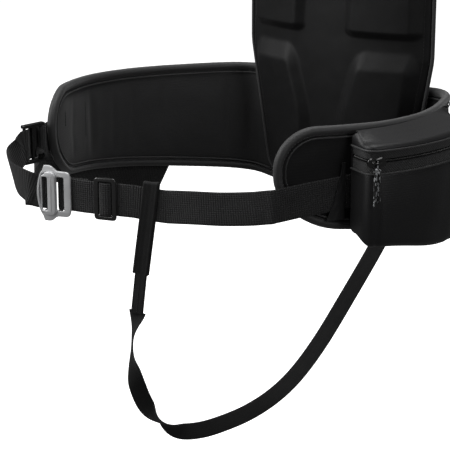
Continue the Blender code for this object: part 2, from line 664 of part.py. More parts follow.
def arc_angle(point):
    return math.degrees(math.atan2(point[1] - ARC_CENTRE.y, point[0] - ARC_CENTRE.x))


ARC_FRONT, ARC_REAR = arc_angle(POCKET_ARC[0]), arc_angle(POCKET_ARC[2])


def pocket_line(grow, corner=0.014):
    """Plan of the pocket from its front foot round the outer face to its rear foot."""
    front_foot = wing_plan(POCKET_FRONT_S, 0.0120)
    rear_foot = wing_plan(POCKET_REAR_S, 0.0120)
    middle = [arc_point(ARC_FRONT + (ARC_REAR - ARC_FRONT) * t / 10, grow) for t in range(11)]
    out = []
    for foot, first, second in ((front_foot, middle[0], middle[1]), (rear_foot, middle[-1], middle[-2])):
        away = (first - foot).normalized()
        side = (first - second).normalized()
        foot = foot + side * grow
        base = first + side * grow
        leave = base - away * corner
        join = first - side * corner + side * grow
        bend = [leave.lerp(base, t).lerp(base.lerp(join, t), t) for t in (0.0, 0.35, 0.7, 1.0)]
        out.append([foot, foot.lerp(leave, 0.5)] + bend)
    return out[0] + middle[2:-2] + list(reversed(out[1]))


def pocket_outline(grow, back):
    """Closed plan outline of the pocket: outer line, then back along the wing."""
    line = pocket_line(grow)
    count = 10
    inner = []
    for i in range(count + 1):
        s = POCKET_REAR_S + (POCKET_FRONT_S - POCKET_REAR_S) * i / count
        inner.append(wing_plan(s, back))
    if grow < 0:
        inner = inner[1:-1]
    return [(p.x, p.y) for p in line + inner]


def slope_bottom(obj):
    """The pocket's floor rises to its front foot and drops towards its rear."""
    for v in obj.data.vertices:
        if v.co.z < (POCKET_LOW + TAPE_LOW) / 2:
            foot = ramp(POCKET_CORNER_X - v.co.x, 0.0, 0.034) * ramp(-v.co.y, 0.270, 0.295)
            v.co.z += POCKET_FOOT_RISE * foot - POCKET_REAR_DROP * ramp(v.co.y, -0.310, -0.200)


def make_pocket():
    cup_top = TAPE_LOW - GAP
    height = cup_top - POCKET_LOW
    place = Matrix.Translation((0, 0, POCKET_LOW + height / 2))
    body = flat_outline("pocket_body", [pocket_outline(0.0, 0.0120)], height, "nylon", place)
    hollow = flat_outline("pocket_hollow", [pocket_outline(-POCKET_WALL, 0.0120 + POCKET_WALL)], height, "nylon",
                          Matrix.Translation((0, 0, POCKET_WALL)) @ place)
    slope_bottom(body)
    slope_bottom(hollow)
    boolean(body, hollow, "DIFFERENCE")
    lid_t = POCKET_TOP - TAPE_HIGH - GAP
    lid_place = Matrix.Translation((0, 0, POCKET_TOP - lid_t / 2))
    flat_outline("pocket_lid", [pocket_outline(0.0, 0.0120)], lid_t, "nylon", lid_place)
    stations = [POCKET_REAR_S - 0.004 + (POCKET_FRONT_S - POCKET_REAR_S + 0.008) * i / 14 for i in range(15)]
    rows = []
    for s in stations:
        p = wing_plan(s, 0.0099)
        low = max(POCKET_LOW + 0.004, wing_edges(s, 0.0)[0] + 0.002)
        rows.append([p + Vector((0, 0, z)) for z in (low, POCKET_TOP + 0.002)])
    surface("pocket_back", rows, 0.0028, "nylon")


def make_zip():
    line = pocket_line(-TAPE_T / 2 - 0.0002)[1:-1]
    low_top, high_low = ZIP_Z - ZIP_R - GAP, ZIP_Z + ZIP_R + GAP
    for name, low, high in (("zip_tape_lower", TAPE_LOW, low_top), ("zip_tape_upper", high_low, TAPE_HIGH)):
        surface(name, [[p + Vector((0, 0, low)), p + Vector((0, 0, high))] for p in line], TAPE_T, "webbing")
    coil = pocket_line(-TAPE_T / 2 - 0.0002)[2:-2]
    curve_tube("zip_coil", [p + Vector((0, 0, ZIP_Z)) for p in coil], ZIP_R, "plastic")
    frame = slider_frame()
    body = rounded_rect(-0.0105, -0.0056, 0.0105, 0.0056, 0.004)
    base = 0.0012 + 2 * GAP
    slider = flat_outline("zip_slider", [body], 0.0030, "plastic",
                          frame @ Matrix.Translation((0, -(base + 0.0015), 0)) @ UPRIGHT)
    hoop = box_solid("slider_hoop", (-0.0012, -(base + 0.0060), -0.0030), (0.0012, -(base + 0.0025), 0.0030),
                     "plastic", frame)
    boolean(slider, hoop, "UNION")
    hole = box_solid("hoop_hole", (-0.0040, -(base + 0.0046), -0.0016), (0.0040, -(base + 0.0031), 0.0016),
                     "plastic", frame)
    boolean(slider, hole, "DIFFERENCE")
    set_origin(slider, Vector((ARC_CENTRE.x, ARC_CENTRE.y, ZIP_Z)))


def slider_frame():
    """Frame on the zip at the closed end: X along the zip, Y into the pocket, Z up."""
    angle = ARC_FRONT + SLIDER_ANGLE
    outward = (arc_point(angle) - ARC_CENTRE).normalized()
    along = Vector((-outward.y, outward.x, 0))
    axes = Matrix((along, -outward, Vector((0, 0, 1)))).transposed()
    place = arc_point(angle) + Vector((0, 0, ZIP_Z))
    return Matrix.Translation(place) @ axes.to_4x4()


def make_zip_pull():
    """Cord pull that hangs from the slider's hoop."""
    frame = slider_frame()
    depth = -0.0063
    points = [frame @ Vector((0.0, depth, -0.0058 - 0.0430 * i / 4)) for i in range(5)]
    pull = curve_tube("zip_pull", points, PULL_R, "cord")
    set_origin(pull, frame @ Vector((0.0, depth, 0.0)))


def make_gusset():
    """Fabric that runs from the pocket's front foot over the webbing, wider towards the wing's bottom."""
    rows = []
    for i in range(9):
        z = -0.0970 + 0.0640 * i / 8
        edge = 0.3610 + 0.0180 * ((-0.033 - z) / 0.064) ** 1.5
        rows.append([wing_plan(0.3575 + (edge - 0.3575) * j / 3, 0.0086) + Vector((0, 0, z)) for j in range(4)])
    surface("pocket_gusset", rows, 0.0012, "nylon")


def main():
    make_panel()
    make_panel_backing()
    for side, label in ((-1, "left"), (1, "right")):
        make_wing(side, label)
    make_right_webbing()
    make_left_webbing()
    make_anchor_webbing()
    make_ladder_lock()
    make_buckle()
    make_tri_glide()
    make_leg_loop()
    make_leg_strap()
    make_pocket()
    make_zip()
    make_zip_pull()
    make_gusset()


clear_scene()
PARTS = new_collection("avalanche_pack_hip_belt")
CUTTERS = new_collection("cutters")
main()
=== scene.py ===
"""Visual model of the hip belt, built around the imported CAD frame. Lengths are in metres."""
import json
import math

import bmesh
import bpy
import numpy as np
from mathutils import Matrix, Vector, noise

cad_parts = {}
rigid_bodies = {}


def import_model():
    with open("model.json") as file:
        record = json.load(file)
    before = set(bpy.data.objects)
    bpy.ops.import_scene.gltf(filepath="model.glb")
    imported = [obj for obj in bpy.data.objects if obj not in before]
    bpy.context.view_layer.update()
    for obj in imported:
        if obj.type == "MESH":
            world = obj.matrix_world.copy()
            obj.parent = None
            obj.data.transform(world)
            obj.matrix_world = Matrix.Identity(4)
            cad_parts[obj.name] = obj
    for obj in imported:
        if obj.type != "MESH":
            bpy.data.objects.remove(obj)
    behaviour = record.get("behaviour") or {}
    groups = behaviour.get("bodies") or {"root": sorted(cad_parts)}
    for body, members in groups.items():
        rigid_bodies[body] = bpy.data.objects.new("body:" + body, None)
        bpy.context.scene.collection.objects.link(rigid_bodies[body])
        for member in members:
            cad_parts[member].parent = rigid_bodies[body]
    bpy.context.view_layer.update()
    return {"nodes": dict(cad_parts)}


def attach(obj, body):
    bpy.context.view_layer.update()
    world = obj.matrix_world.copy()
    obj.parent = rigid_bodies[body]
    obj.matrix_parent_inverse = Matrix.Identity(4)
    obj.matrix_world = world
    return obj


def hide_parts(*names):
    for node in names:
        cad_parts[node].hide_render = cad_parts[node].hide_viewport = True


for old in list(bpy.data.objects):
    bpy.data.objects.remove(old, do_unlink=True)
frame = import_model()
NODES = frame["nodes"]

# ---- plan dimensions, the same as the CAD's -------------------------------------------------
PANEL_BOTTOM, PANEL_TOP = -0.144, 0.150
PANEL_HALF_BOTTOM, PANEL_HALF_TOP = 0.106, 0.137
PANEL_TAPER_END = 0.030
PANEL_REAR, PANEL_EDGE, PANEL_CROWN = 0.0145, 0.008, 0.026
PAD_RISE = 0.010
PANEL_CORNER = 0.020
WING_PLAN = [(0.104, -0.0083), (0.142, -0.0083), (0.168, -0.030), (0.191, -0.075), (0.212, -0.130),
             (0.2237, -0.185), (0.2218, -0.247), (0.2034, -0.3024), (0.1815, -0.3440), (0.1698, -0.3700)]
WING_TOP, WING_BOTTOM = (-0.011, 0.0045), (-0.153, -0.0950)
TIP_TOP, TIP_LOW = (0.048, 0.042), (0.078, 0.054)
RIM_R = 0.0055
WEB_W, WEB_T = 0.038, 0.0015
BELT_Z = -0.0835
BELT_DIR = Vector((0.951, 0.309, 0.0)).normalized()
BUCKLE_AT = Vector((-0.077, -0.4615, BELT_Z))
PLATE_T, PIN_R, PIN_DEPTH = 0.003, 0.001, 0.0046
TONGUE_PIN_X, FRAME_PIN_X = -0.0103, 0.0055
GLIDE_AT_X, GLIDE_L, GLIDE_H = 0.0645, 0.027, 0.0485
LOOP_AT_X, LOOP_W, LOOP_T = 0.1200, 0.020, 0.0018
LOOP_SLACK, LOOP_LEAN, LOOP_LOW = 0.0038, 0.0145, 0.083
LOOP_SIDE, LOOP_LEAN_MOST, LOOP_LEAN_END = Vector((-0.776, -0.631, 0.0)), 0.24, 0.70
LOCK_AT = Vector((-0.1665, -0.3915, -0.0485))
LOCK_DIR = Vector((-0.05, -0.9987, 0.0)).normalized()
LOCK_BARS, LOCK_BAR_R = (0.0, 0.013, 0.026), 0.002
STRAP_W, STRAP_T, ANCHOR_X = 0.020, 0.0016, 0.092
STRAP_FACES = Vector((0.606, -0.748, 0.269))
STRAP_ROUTE = [
    ((0.0250, -0.4370, -0.2085), 10), ((0.0211, -0.4380, -0.2240), 60), ((0.0186, -0.4390, -0.2409), 82),
    ((0.0173, -0.4380, -0.2618), 76), ((0.0190, -0.4365, -0.2810), 40), ((0.0206, -0.4340, -0.2997), 5),
    ((0.0251, -0.4250, -0.3245), -15), ((0.0330, -0.4100, -0.3456), -90), ((0.0387, -0.3850, -0.3652), -165),
    ((0.0445, -0.3520, -0.3737), -180), ((0.0524, -0.3150, -0.3739), -180),
    ((0.0611, -0.2780, -0.3690), -180),
    ((0.0710, -0.2430, -0.3565), -180), ((0.0780, -0.2070, -0.3370), -180),
    ((0.0835, -0.1650, -0.3045), -180),
    ((0.0900, -0.1180, -0.2570), -180), ((0.0935, -0.0680, -0.2098), -180),
    ((0.0925, -0.0300, -0.1760), -180),
    ((0.0920, -0.0165, -0.1640), -180)]
POCKET_LOW, POCKET_TOP = -0.122, -0.007
POCKET_FRONT_S, POCKET_REAR_S = 0.352, 0.172
POCKET_FOOT_RISE, POCKET_REAR_DROP, POCKET_CORNER_X = 0.010, 0.013, 0.250
GUSSET_LOW, GUSSET_HIGH = -0.0970, -0.0330
GUSSET_START, GUSSET_EDGE, GUSSET_FLARE = 0.3575, 0.3610, 0.0180   # lengths along the wing
POCKET_ARC = ((0.2515, -0.3165), (0.2800, -0.2250), (0.2700, -0.1420))
ZIP_Z, ZIP_R = -0.0250, 0.0016
TAPE_LOW, TAPE_HIGH, TAPE_T = -0.0385, -0.0145, 0.0012
SLIDER_ANGLE = 1.8
UP = Vector((0, 0, 1))
UPRIGHT = Matrix.Rotation(math.radians(90), 4, "X")


# ---- paths ----------------------------------------------------------------------------------
def smooth_path(points, steps=4):
    """Catmull-Rom points through a list of vectors."""
    pts = [Vector(p) for p in points]
    pts = [2 * pts[0] - pts[1]] + pts + [2 * pts[-1] - pts[-2]]
    out = []
    for a, b, c, d in zip(pts, pts[1:], pts[2:], pts[3:]):
        for i in range(steps):
            t = i / steps
            out.append(0.5 * (2 * b + (c - a) * t + (2 * a - 5 * b + 4 * c - d) * t * t
                              + (3 * b - a - 3 * c + d) * t ** 3))
    out.append(pts[-2])
    return out


def resample(points, step, extra=None):
    """Even points along a path, with a second list of vectors carried along."""
    array = np.array([list(p) for p in points])
    lengths = np.concatenate([[0.0], np.cumsum(np.linalg.norm(np.diff(array, axis=0), axis=1))])
    count = max(2, int(round(lengths[-1] / step)) + 1)
    at = np.linspace(0.0, lengths[-1], count)
    even = np.stack([np.interp(at, lengths, array[:, k]) for k in range(3)], axis=1)
    if extra is None:
        return [Vector(p) for p in even]
    other = np.array([list(v) for v in extra])
    carried = np.stack([np.interp(at, lengths, other[:, k]) for k in range(3)], axis=1)
    return [Vector(p) for p in even], [Vector(v).normalized() for v in carried]


def tangents(points):
    out = []
    for i in range(len(points)):
        out.append((points[min(i + 1, len(points) - 1)] - points[max(i - 1, 0)]).normalized())
    return out


def ramp(value, low, high):
    t = min(max((value - low) / (high - low), 0.0), 1.0)
    return t * t * (3 - 2 * t)


def belt_frame(along, depth=0.0, height=0.0):
    back = Vector((-BELT_DIR.y, BELT_DIR.x, 0))
    place = BUCKLE_AT + BELT_DIR * along + back * depth + Vector((0, 0, height))
    return Matrix.Translation(place) @ Matrix((BELT_DIR, back, UP)).transposed().to_4x4()


def belt_point(x, y, z=0.0):
    return belt_frame(0) @ Vector((x, y, z))


def lock_frame():
    outer = Vector((LOCK_DIR.y, -LOCK_DIR.x, 0))
    return Matrix.Translation(LOCK_AT) @ Matrix((LOCK_DIR, outer, UP)).transposed().to_4x4()


WING_LINE = smooth_path([(x, y, 0) for x, y in WING_PLAN], 8)
WING_LENGTHS = [0.0]
for first, second in zip(WING_LINE, WING_LINE[1:]):
    WING_LENGTHS.append(WING_LENGTHS[-1] + (second - first).length)
WING_LENGTH = WING_LENGTHS[-1]
WING_ARRAY = np.array([list(p) for p in WING_LINE])


def wing_plan(s, offset=0.0, side=1):
    """Plan point at length s along the wing, moved away from the wearer by offset."""
    def at(length):
        return Vector([np.interp(length, WING_LENGTHS, WING_ARRAY[:, k]) for k in range(3)])
    reach = 0.008
    along = (at(min(s + reach, WING_LENGTH)) - at(max(s - reach, 0.0))).normalized()
    point = at(s) + Vector((-along.y, along.x, 0)) * offset
    return Vector((side * point.x, point.y, 0))


def wing_edges(s, inset):
    """Bottom and top height of the wing at length s, inset from the rim's centre line."""
    t = s / WING_LENGTH
    top = WING_TOP[0] + (WING_TOP[1] - WING_TOP[0]) * t - inset
    bottom = WING_BOTTOM[0] + (WING_BOTTOM[1] - WING_BOTTOM[0]) * t + inset
    end = WING_LENGTH - inset
    drops = []
    for long, high in (TIP_TOP, TIP_LOW):
        over = min(max(0.0, s - (end - (long - inset))) / (long - inset), 1.0)
        drops.append((high - inset) * (1 - math.sqrt(max(1 - over ** 2, 0.0))))
    return bottom + drops[1], top - drops[0]


def wing_stations(inset, straight=70, curved=26):
    end = WING_LENGTH - inset
    start = end - TIP_LOW[0] + inset
    out = [0.004 + (start - 0.004) * i / straight for i in range(straight)]
    return out + [start + (end - start) * math.sin(math.radians(90 * i / curved)) for i in range(curved + 1)]


def wing_point_out(s, z, side=1, extra=0.0):
    return wing_plan(s, 0.0066 + extra, side) + Vector((0, 0, z))


# ---- mesh building --------------------------------------------------------------------------
def mesh_object(name, verts, faces, smooth=True, angle=35.0):
    mesh = bpy.data.meshes.new(name)
    mesh.from_pydata([tuple(v) for v in verts], [], faces)
    bm = bmesh.new()
    bm.from_mesh(mesh)
    bmesh.ops.recalc_face_normals(bm, faces=bm.faces)
    bm.to_mesh(mesh)
    bm.free()
    obj = bpy.data.objects.new(name, mesh)
    bpy.context.scene.collection.objects.link(obj)
    if smooth:
        mesh.shade_smooth()
        mesh.set_sharp_from_angle(angle=math.radians(angle))
    return obj


def patch_border(rows, columns):
    """Indices round the edge of a grid of (rows + 1) x (columns + 1) points."""
    row = columns + 1
    border = list(range(row)) + [i * row + columns for i in range(1, rows + 1)]
    border += [rows * row + j for j in reversed(range(columns))]
    return border + [i * row for i in reversed(range(1, rows))]


def closed_patch(name, verts, rows, columns, angle=40):
    """A thin closed piece between two grids of points, each (rows + 1) x (columns + 1)."""
    row = columns + 1
    size = row * (rows + 1)
    faces = []
    for i in range(rows):
        for j in range(columns):
            a = i * row + j
            faces.append((a, a + 1, a + row + 1, a + row))
            faces.append((size + a, size + a + row, size + a + row + 1, size + a + 1))
    border = patch_border(rows, columns)
    for k in range(len(border)):
        n = (k + 1) % len(border)
        faces.append((border[k], border[n], size + border[n], size + border[k]))
    return mesh_object(name, verts, faces, angle=angle)


def point_attribute(obj, name, values):
    layer = obj.data.attributes.new(name, "FLOAT", "POINT")
    layer.data.foreach_set("value", [float(v) for v in values])


class Shape:
    """Verts and faces gathered from several parts into one mesh."""

    def __init__(self):
        self.verts, self.faces = [], []

    def tube(self, points, radii, sides=10, closed=False, squash=1.0, up=UP):
        """A tube along points; radii is a number or one number per point."""
        if isinstance(radii, (int, float)):
            radii = [radii] * len(points)
        base = len(self.verts)
        directions = tangents(points)
        if closed:
            directions[0] = directions[-1] = (points[1] - points[-2]).normalized()
        across = directions[0].cross(up)
        if across.length < 0.1:
            across = directions[0].cross(Vector((1, 0, 0)))
        across.normalize()
        count = len(points) - (1 if closed else 0)
        for i in range(count):
            across = (across - directions[i] * across.dot(directions[i])).normalized()
            normal = directions[i].cross(across)
            for k in range(sides):
                a = 2 * math.pi * k / sides
                self.verts.append(points[i] + (across * math.cos(a) + normal * math.sin(a) * squash)
                                  * radii[i])
        for i in range(count if closed else count - 1):
            j = (i + 1) % count
            for k in range(sides):
                n = (k + 1) % sides
                self.faces.append((base + i * sides + k, base + i * sides + n, base + j * sides + n,
                                   base + j * sides + k))
        if not closed:
            self.faces.append(tuple(base + k for k in reversed(range(sides))))
            self.faces.append(tuple(base + (count - 1) * sides + k for k in range(sides)))

    def dashes(self, points, normals, pitch, length, radius, zigzag=0.0):
        """Stitches along a path, half sunk into the surface under it."""
        even, lift = resample(points, pitch, normals)
        for i, (p, n, t) in enumerate(zip(even, lift, tangents(even))):
            side = t.cross(n) * zigzag * (1 if i % 2 else -1)
            a, b = p - t * length / 2 - side, p + t * length / 2 + side
            line = [a.lerp(b, f) + n * radius * h for f, h in ((0.0, -0.9), (0.22, 0.3), (0.5, 0.55),
                                                               (0.78, 0.3),
                                                                (1.0, -0.9))]
            self.tube(line, [radius * f for f in (0.55, 1.0, 1.05, 1.0, 0.55)], 6, up=n)

    def done(self, name, angle=50.0):
        return mesh_object(name, self.verts, self.faces, angle=angle)


def tape(name, points, sides, width, thick, step=0.0009, rib=0.00010, columns=12, slant=0.0, ribs_across=True,
         ridge=0.0):
    """Flat webbing as a closed loft: sides are its width directions. Ribs are real geometry."""
    centres, wide = resample(points, step, sides)
    along = tangents(centres)
    us = [math.sin(math.pi / 2 * (2 * k / columns - 1)) for k in range(columns + 1)]
    verts, lengths, offsets = [], [], []
    for i, (c, w, t) in enumerate(zip(centres, wide, along)):
        normal = t.cross(w).normalized()
        w = normal.cross(t).normalized()
        swing = rib if ribs_across and i % 2 else 0.0
        cut = slant * ramp(i, len(centres) - 1 - 0.030 / step, len(centres) - 1) if slant else 0.0
        ring = [(u, 1) for u in us] + [(u, -1) for u in reversed(us[1:-1])]
        for u, face in ring:
            raised = math.exp(-((abs(u) - 0.80) / 0.11) ** 2) - 0.8 * math.exp(-(u / 0.16) ** 2)
            depth = (thick / 2 - swing + ridge * raised) * (1 - abs(u) ** 10) ** 0.5 * face
            edge = width / 2 * (1 - (0.004 if i % 2 else 0.0))
            verts.append(c + w * u * edge + normal * depth - t * cut * (1 - u) / 2)
            lengths.append(i * step)
            offsets.append(u * width / 2)
    size = 2 * columns
    faces = []
    for i in range(len(centres) - 1):
        for k in range(size):
            n = (k + 1) % size
            faces.append((i * size + k, i * size + n, (i + 1) * size + n, (i + 1) * size + k))
    faces.append(tuple(reversed(range(size))))
    faces.append(tuple((len(centres) - 1) * size + k for k in range(size)))
    obj = mesh_object(name, verts, faces, angle=60)
    point_attribute(obj, "along", lengths)
    point_attribute(obj, "across", offsets)
    return obj


def upright(points):
    return [UP] * len(points)


def rounded_rect(x0, z0, x1, z1, radius, steps=6):
    out = []
    for cx, cz, start in ((x1 - radius, z1 - radius, 0), (x0 + radius, z1 - radius, 90),
                          (x0 + radius, z0 + radius, 180), (x1 - radius, z0 + radius, 270)):
        for i in range(steps + 1):
            a = math.radians(start + 90 * i / steps)
            out.append((cx + radius * math.cos(a), cz + radius * math.sin(a)))
    return out


def smooth_loop(points, steps=5):
    """A closed outline rounded by Catmull-Rom."""
    pts = [Vector((x, z, 0)) for x, z in points]
    looped = [pts[-1]] + pts + [pts[0], pts[1]]
    out = []
    for a, b, c, d in zip(looped, looped[1:], looped[2:], looped[3:]):
        for i in range(steps):
            t = i / steps
            p = 0.5 * (2 * b + (c - a) * t + (2 * a - 5 * b + 4 * c - d) * t * t + (3 * b - a - 3 * c + d)
                       * t ** 3)
            out.append((p.x, p.y))
    return out


def plate(name, loops, thickness, place, bevel):
    """A plate with rounded edges from outlines (outer first), placed by a 4x4 matrix."""
    curve = bpy.data.curves.new(name, "CURVE")
    curve.dimensions = "2D"
    curve.fill_mode = "BOTH"
    curve.extrude = thickness / 2 - bevel
    curve.bevel_depth = bevel
    curve.bevel_resolution = 3
    curve.offset = -bevel
    for loop in loops:
        spline = curve.splines.new("POLY")
        spline.points.add(len(loop) - 1)
        for point, (x, y) in zip(spline.points, loop):
            point.co = (x, y, 0.0, 1.0)
        spline.use_cyclic_u = True
    guide = bpy.data.objects.new(name + "_guide", curve)
    bpy.context.scene.collection.objects.link(guide)
    bpy.context.view_layer.update()
    made = bpy.data.meshes.new_from_object(guide.evaluated_get(bpy.context.evaluated_depsgraph_get()))
    bpy.data.objects.remove(guide, do_unlink=True)
    bpy.data.curves.remove(curve)
    bm = bmesh.new()
    bm.from_mesh(made)
    bpy.data.meshes.remove(made)
    bmesh.ops.remove_doubles(bm, verts=bm.verts, dist=1e-6)
    bmesh.ops.transform(bm, matrix=place, verts=bm.verts)
    bmesh.ops.recalc_face_normals(bm, faces=bm.faces)
    return bm_object(name, bm)


def bm_object(name, bm, angle=32.0):
    mesh = bpy.data.meshes.new(name)
    bm.to_mesh(mesh)
    bm.free()
    obj = bpy.data.objects.new(name, mesh)
    bpy.context.scene.collection.objects.link(obj)
    mesh.shade_smooth()
    mesh.set_sharp_from_angle(angle=math.radians(angle))
    return obj


def join(name, *objects):
    """Several objects' meshes as one object."""
    bm = bmesh.new()
    for obj in objects:
        bm.from_mesh(obj.data)
        bpy.data.objects.remove(obj, do_unlink=True)
    return bm_object(name, bm)


def bar_box(name, low, high, place, bevel):
    """A box with rounded edges."""
    bm = bmesh.new()
    bmesh.ops.create_cube(bm, size=1.0)
    low, high = Vector(low), Vector(high)
    for v in bm.verts:
        v.co = Vector([low[i] + (v.co[i] + 0.5) * (high[i] - low[i]) for i in range(3)])
    bmesh.ops.bevel(bm, geom=bm.edges[:], offset=bevel, segments=3, profile=0.6, affect="EDGES")
    bmesh.ops.transform(bm, matrix=place, verts=bm.verts)
    return bm_object(name, bm)


def apply_modifiers(obj):
    bpy.context.view_layer.update()
    made = bpy.data.meshes.new_from_object(obj.evaluated_get(bpy.context.evaluated_depsgraph_get()))
    obj.modifiers.clear()
    old_mesh = obj.data
    obj.data = made
    bpy.data.meshes.remove(old_mesh)
    return obj


# ---- camera, floor and light ----------------------------------------------------------------
def add_camera():
    target = Vector((-0.1011, -0.1262, -0.1973))
    azimuth, elevation, distance = math.radians(39.1), math.radians(15.6), 2.2
    back = Vector((math.sin(azimuth) * math.cos(elevation), -math.cos(azimuth) * math.cos(elevation),
                   math.sin(elevation)))
    camera = bpy.data.cameras.new("camera")
    camera.lens = 135.04
    camera.sensor_width = 36.0
    holder = bpy.data.objects.new("camera", camera)
    bpy.context.scene.collection.objects.link(holder)
    holder.location = target + back * distance
    holder.rotation_euler = (target - holder.location).to_track_quat("-Z", "Y").to_euler()
    bpy.context.scene.camera = holder


def add_area(name, place, aim, size, power, color=(1, 1, 1)):
    light = bpy.data.lights.new(name, "AREA")
    light.shape = "RECTANGLE"
    light.size, light.size_y = size
    light.energy = power
    light.color = color
    holder = bpy.data.objects.new(name, light)
    bpy.context.scene.collection.objects.link(holder)
    holder.location = place
    holder.rotation_euler = (Vector(aim) - Vector(place)).to_track_quat("-Z", "Y").to_euler()


def add_studio():
    world = bpy.data.worlds.new("studio")
    world.use_nodes = True
    world.node_tree.nodes["Background"].inputs["Color"].default_value = (1, 1, 1, 1)
    world.node_tree.nodes["Background"].inputs["Strength"].default_value = 0.10
    bpy.context.scene.world = world
    bpy.context.scene.view_settings.view_transform = "Standard"
    half = 9.0
    floor = mesh_object("floor", [(-half, -half, FLOOR_Z), (half, -half, FLOOR_Z), (half, half, FLOOR_Z),
                                  (-half, half, FLOOR_Z)], [(0, 1, 2, 3)], smooth=False)
    mat = bpy.data.materials.new("floor_paper")
    mat.use_nodes = True
    bsdf = mat.node_tree.nodes["Principled BSDF"]
    bsdf.inputs["Base Color"].default_value = (0.95, 0.95, 0.95, 1)
    bsdf.inputs["Roughness"].default_value = 0.9
    bsdf.inputs["Emission Color"].default_value = (1, 1, 1, 1)
    bsdf.inputs["Emission Strength"].default_value = 0.85
    floor.data.materials.append(mat)
    floor.visible_diffuse = floor.visible_glossy = False
    add_area("key", (-1.9, -1.6, 1.7), (0.0, -0.2, -0.1), (1.5, 1.3), 44)
    add_area("top", (0.1, -0.2, 2.2), (0.0, -0.2, -0.1), (2.2, 1.4), 38)
    add_area("side", (2.3, -0.7, 0.9), (0.1, -0.2, -0.1), (0.7, 1.4), 11)
    add_area("fill", (-0.9, -2.6, 0.6), (0.0, -0.2, -0.1), (1.2, 1.2), 13)


FLOOR_Z = -0.400


# ---- materials ------------------------------------------------------------------------------
def new_material(name):
    mat = bpy.data.materials.new(name)
    mat.use_nodes = True
    tree = mat.node_tree
    return mat, tree, tree.nodes["Principled BSDF"]


def link_noise(tree, scale, detail=3.0, rough=0.55, source=None):
    node = tree.nodes.new("ShaderNodeTexNoise")
    node.inputs["Scale"].default_value = scale
    node.inputs["Detail"].default_value = detail
    node.inputs["Roughness"].default_value = rough
    if source is None:
        source = tree.nodes.new("ShaderNodeTexCoord").outputs["Object"]
    tree.links.new(source, node.inputs["Vector"])
    return node.outputs["Fac"]


def spread(tree, value, low, high, from_low=0.3, from_high=0.7):
    node = tree.nodes.new("ShaderNodeMapRange")
    tree.links.new(value, node.inputs["Value"])
    for key, number in (("From Min", from_low), ("From Max", from_high), ("To Min", low), ("To Max", high)):
        node.inputs[key].default_value = number
    return node.outputs["Result"]


def math_node(tree, kind, a, b=None):
    node = tree.nodes.new("ShaderNodeMath")
    node.operation = kind
    for socket, value in zip(node.inputs, (a, b)):
        if value is None:
            continue
        if isinstance(value, (int, float)):
            socket.default_value = value
        else:
            tree.links.new(value, socket)
    return node.outputs[0]


def tint(tree, bsdf, factor, dark, light):
    node = tree.nodes.new("ShaderNodeMix")
    node.data_type = "RGBA"
    tree.links.new(factor, node.inputs["Factor"])
    node.inputs[6].default_value = (*dark, 1)
    node.inputs[7].default_value = (*light, 1)
    tree.links.new(node.outputs[2], bsdf.inputs["Base Color"])


def bump(tree, bsdf, height, distance, strength=1.0):
    node = tree.nodes.new("ShaderNodeBump")
    node.inputs["Distance"].default_value = distance
    node.inputs["Strength"].default_value = strength
    tree.links.new(height, node.inputs["Height"])
    tree.links.new(node.outputs["Normal"], bsdf.inputs["Normal"])


def cloth_material(name, dark, light, rough=(0.72, 0.9), weave=900.0, depth=0.00018, sheen=0.25, coarse=14.0,
                   lines=0.22, shine=0.35):
    """Woven fabric: fine level lines, thread grain and a slow change of shade."""
    mat, tree, bsdf = new_material(name)
    coord = tree.nodes.new("ShaderNodeTexCoord").outputs["Object"]
    split = tree.nodes.new("ShaderNodeSeparateXYZ")
    tree.links.new(coord, split.inputs[0])
    wave = math_node(tree, "SINE", math_node(tree, "MULTIPLY", split.outputs[2], weave * 1.27))
    grain = link_noise(tree, weave * 1.1, 2.0, 0.5, coord)
    height = math_node(tree, "ADD", math_node(tree, "MULTIPLY", wave, lines), grain)
    shade = math_node(tree, "ADD", math_node(tree, "MULTIPLY", spread(tree, grain, 0.0, 1.0), 0.45),
                      math_node(tree, "MULTIPLY", spread(tree, link_noise(tree, coarse, 4.0, 0.6, coord),
                                                         0.0, 1.0), 0.55))
    tint(tree, bsdf, shade, dark, light)
    tree.links.new(spread(tree, grain, rough[0], rough[1]), bsdf.inputs["Roughness"])
    bump(tree, bsdf, height, depth)
    bsdf.inputs["Sheen Weight"].default_value = sheen
    bsdf.inputs["Sheen Roughness"].default_value = 0.5
    bsdf.inputs["Specular IOR Level"].default_value = shine
    return mat


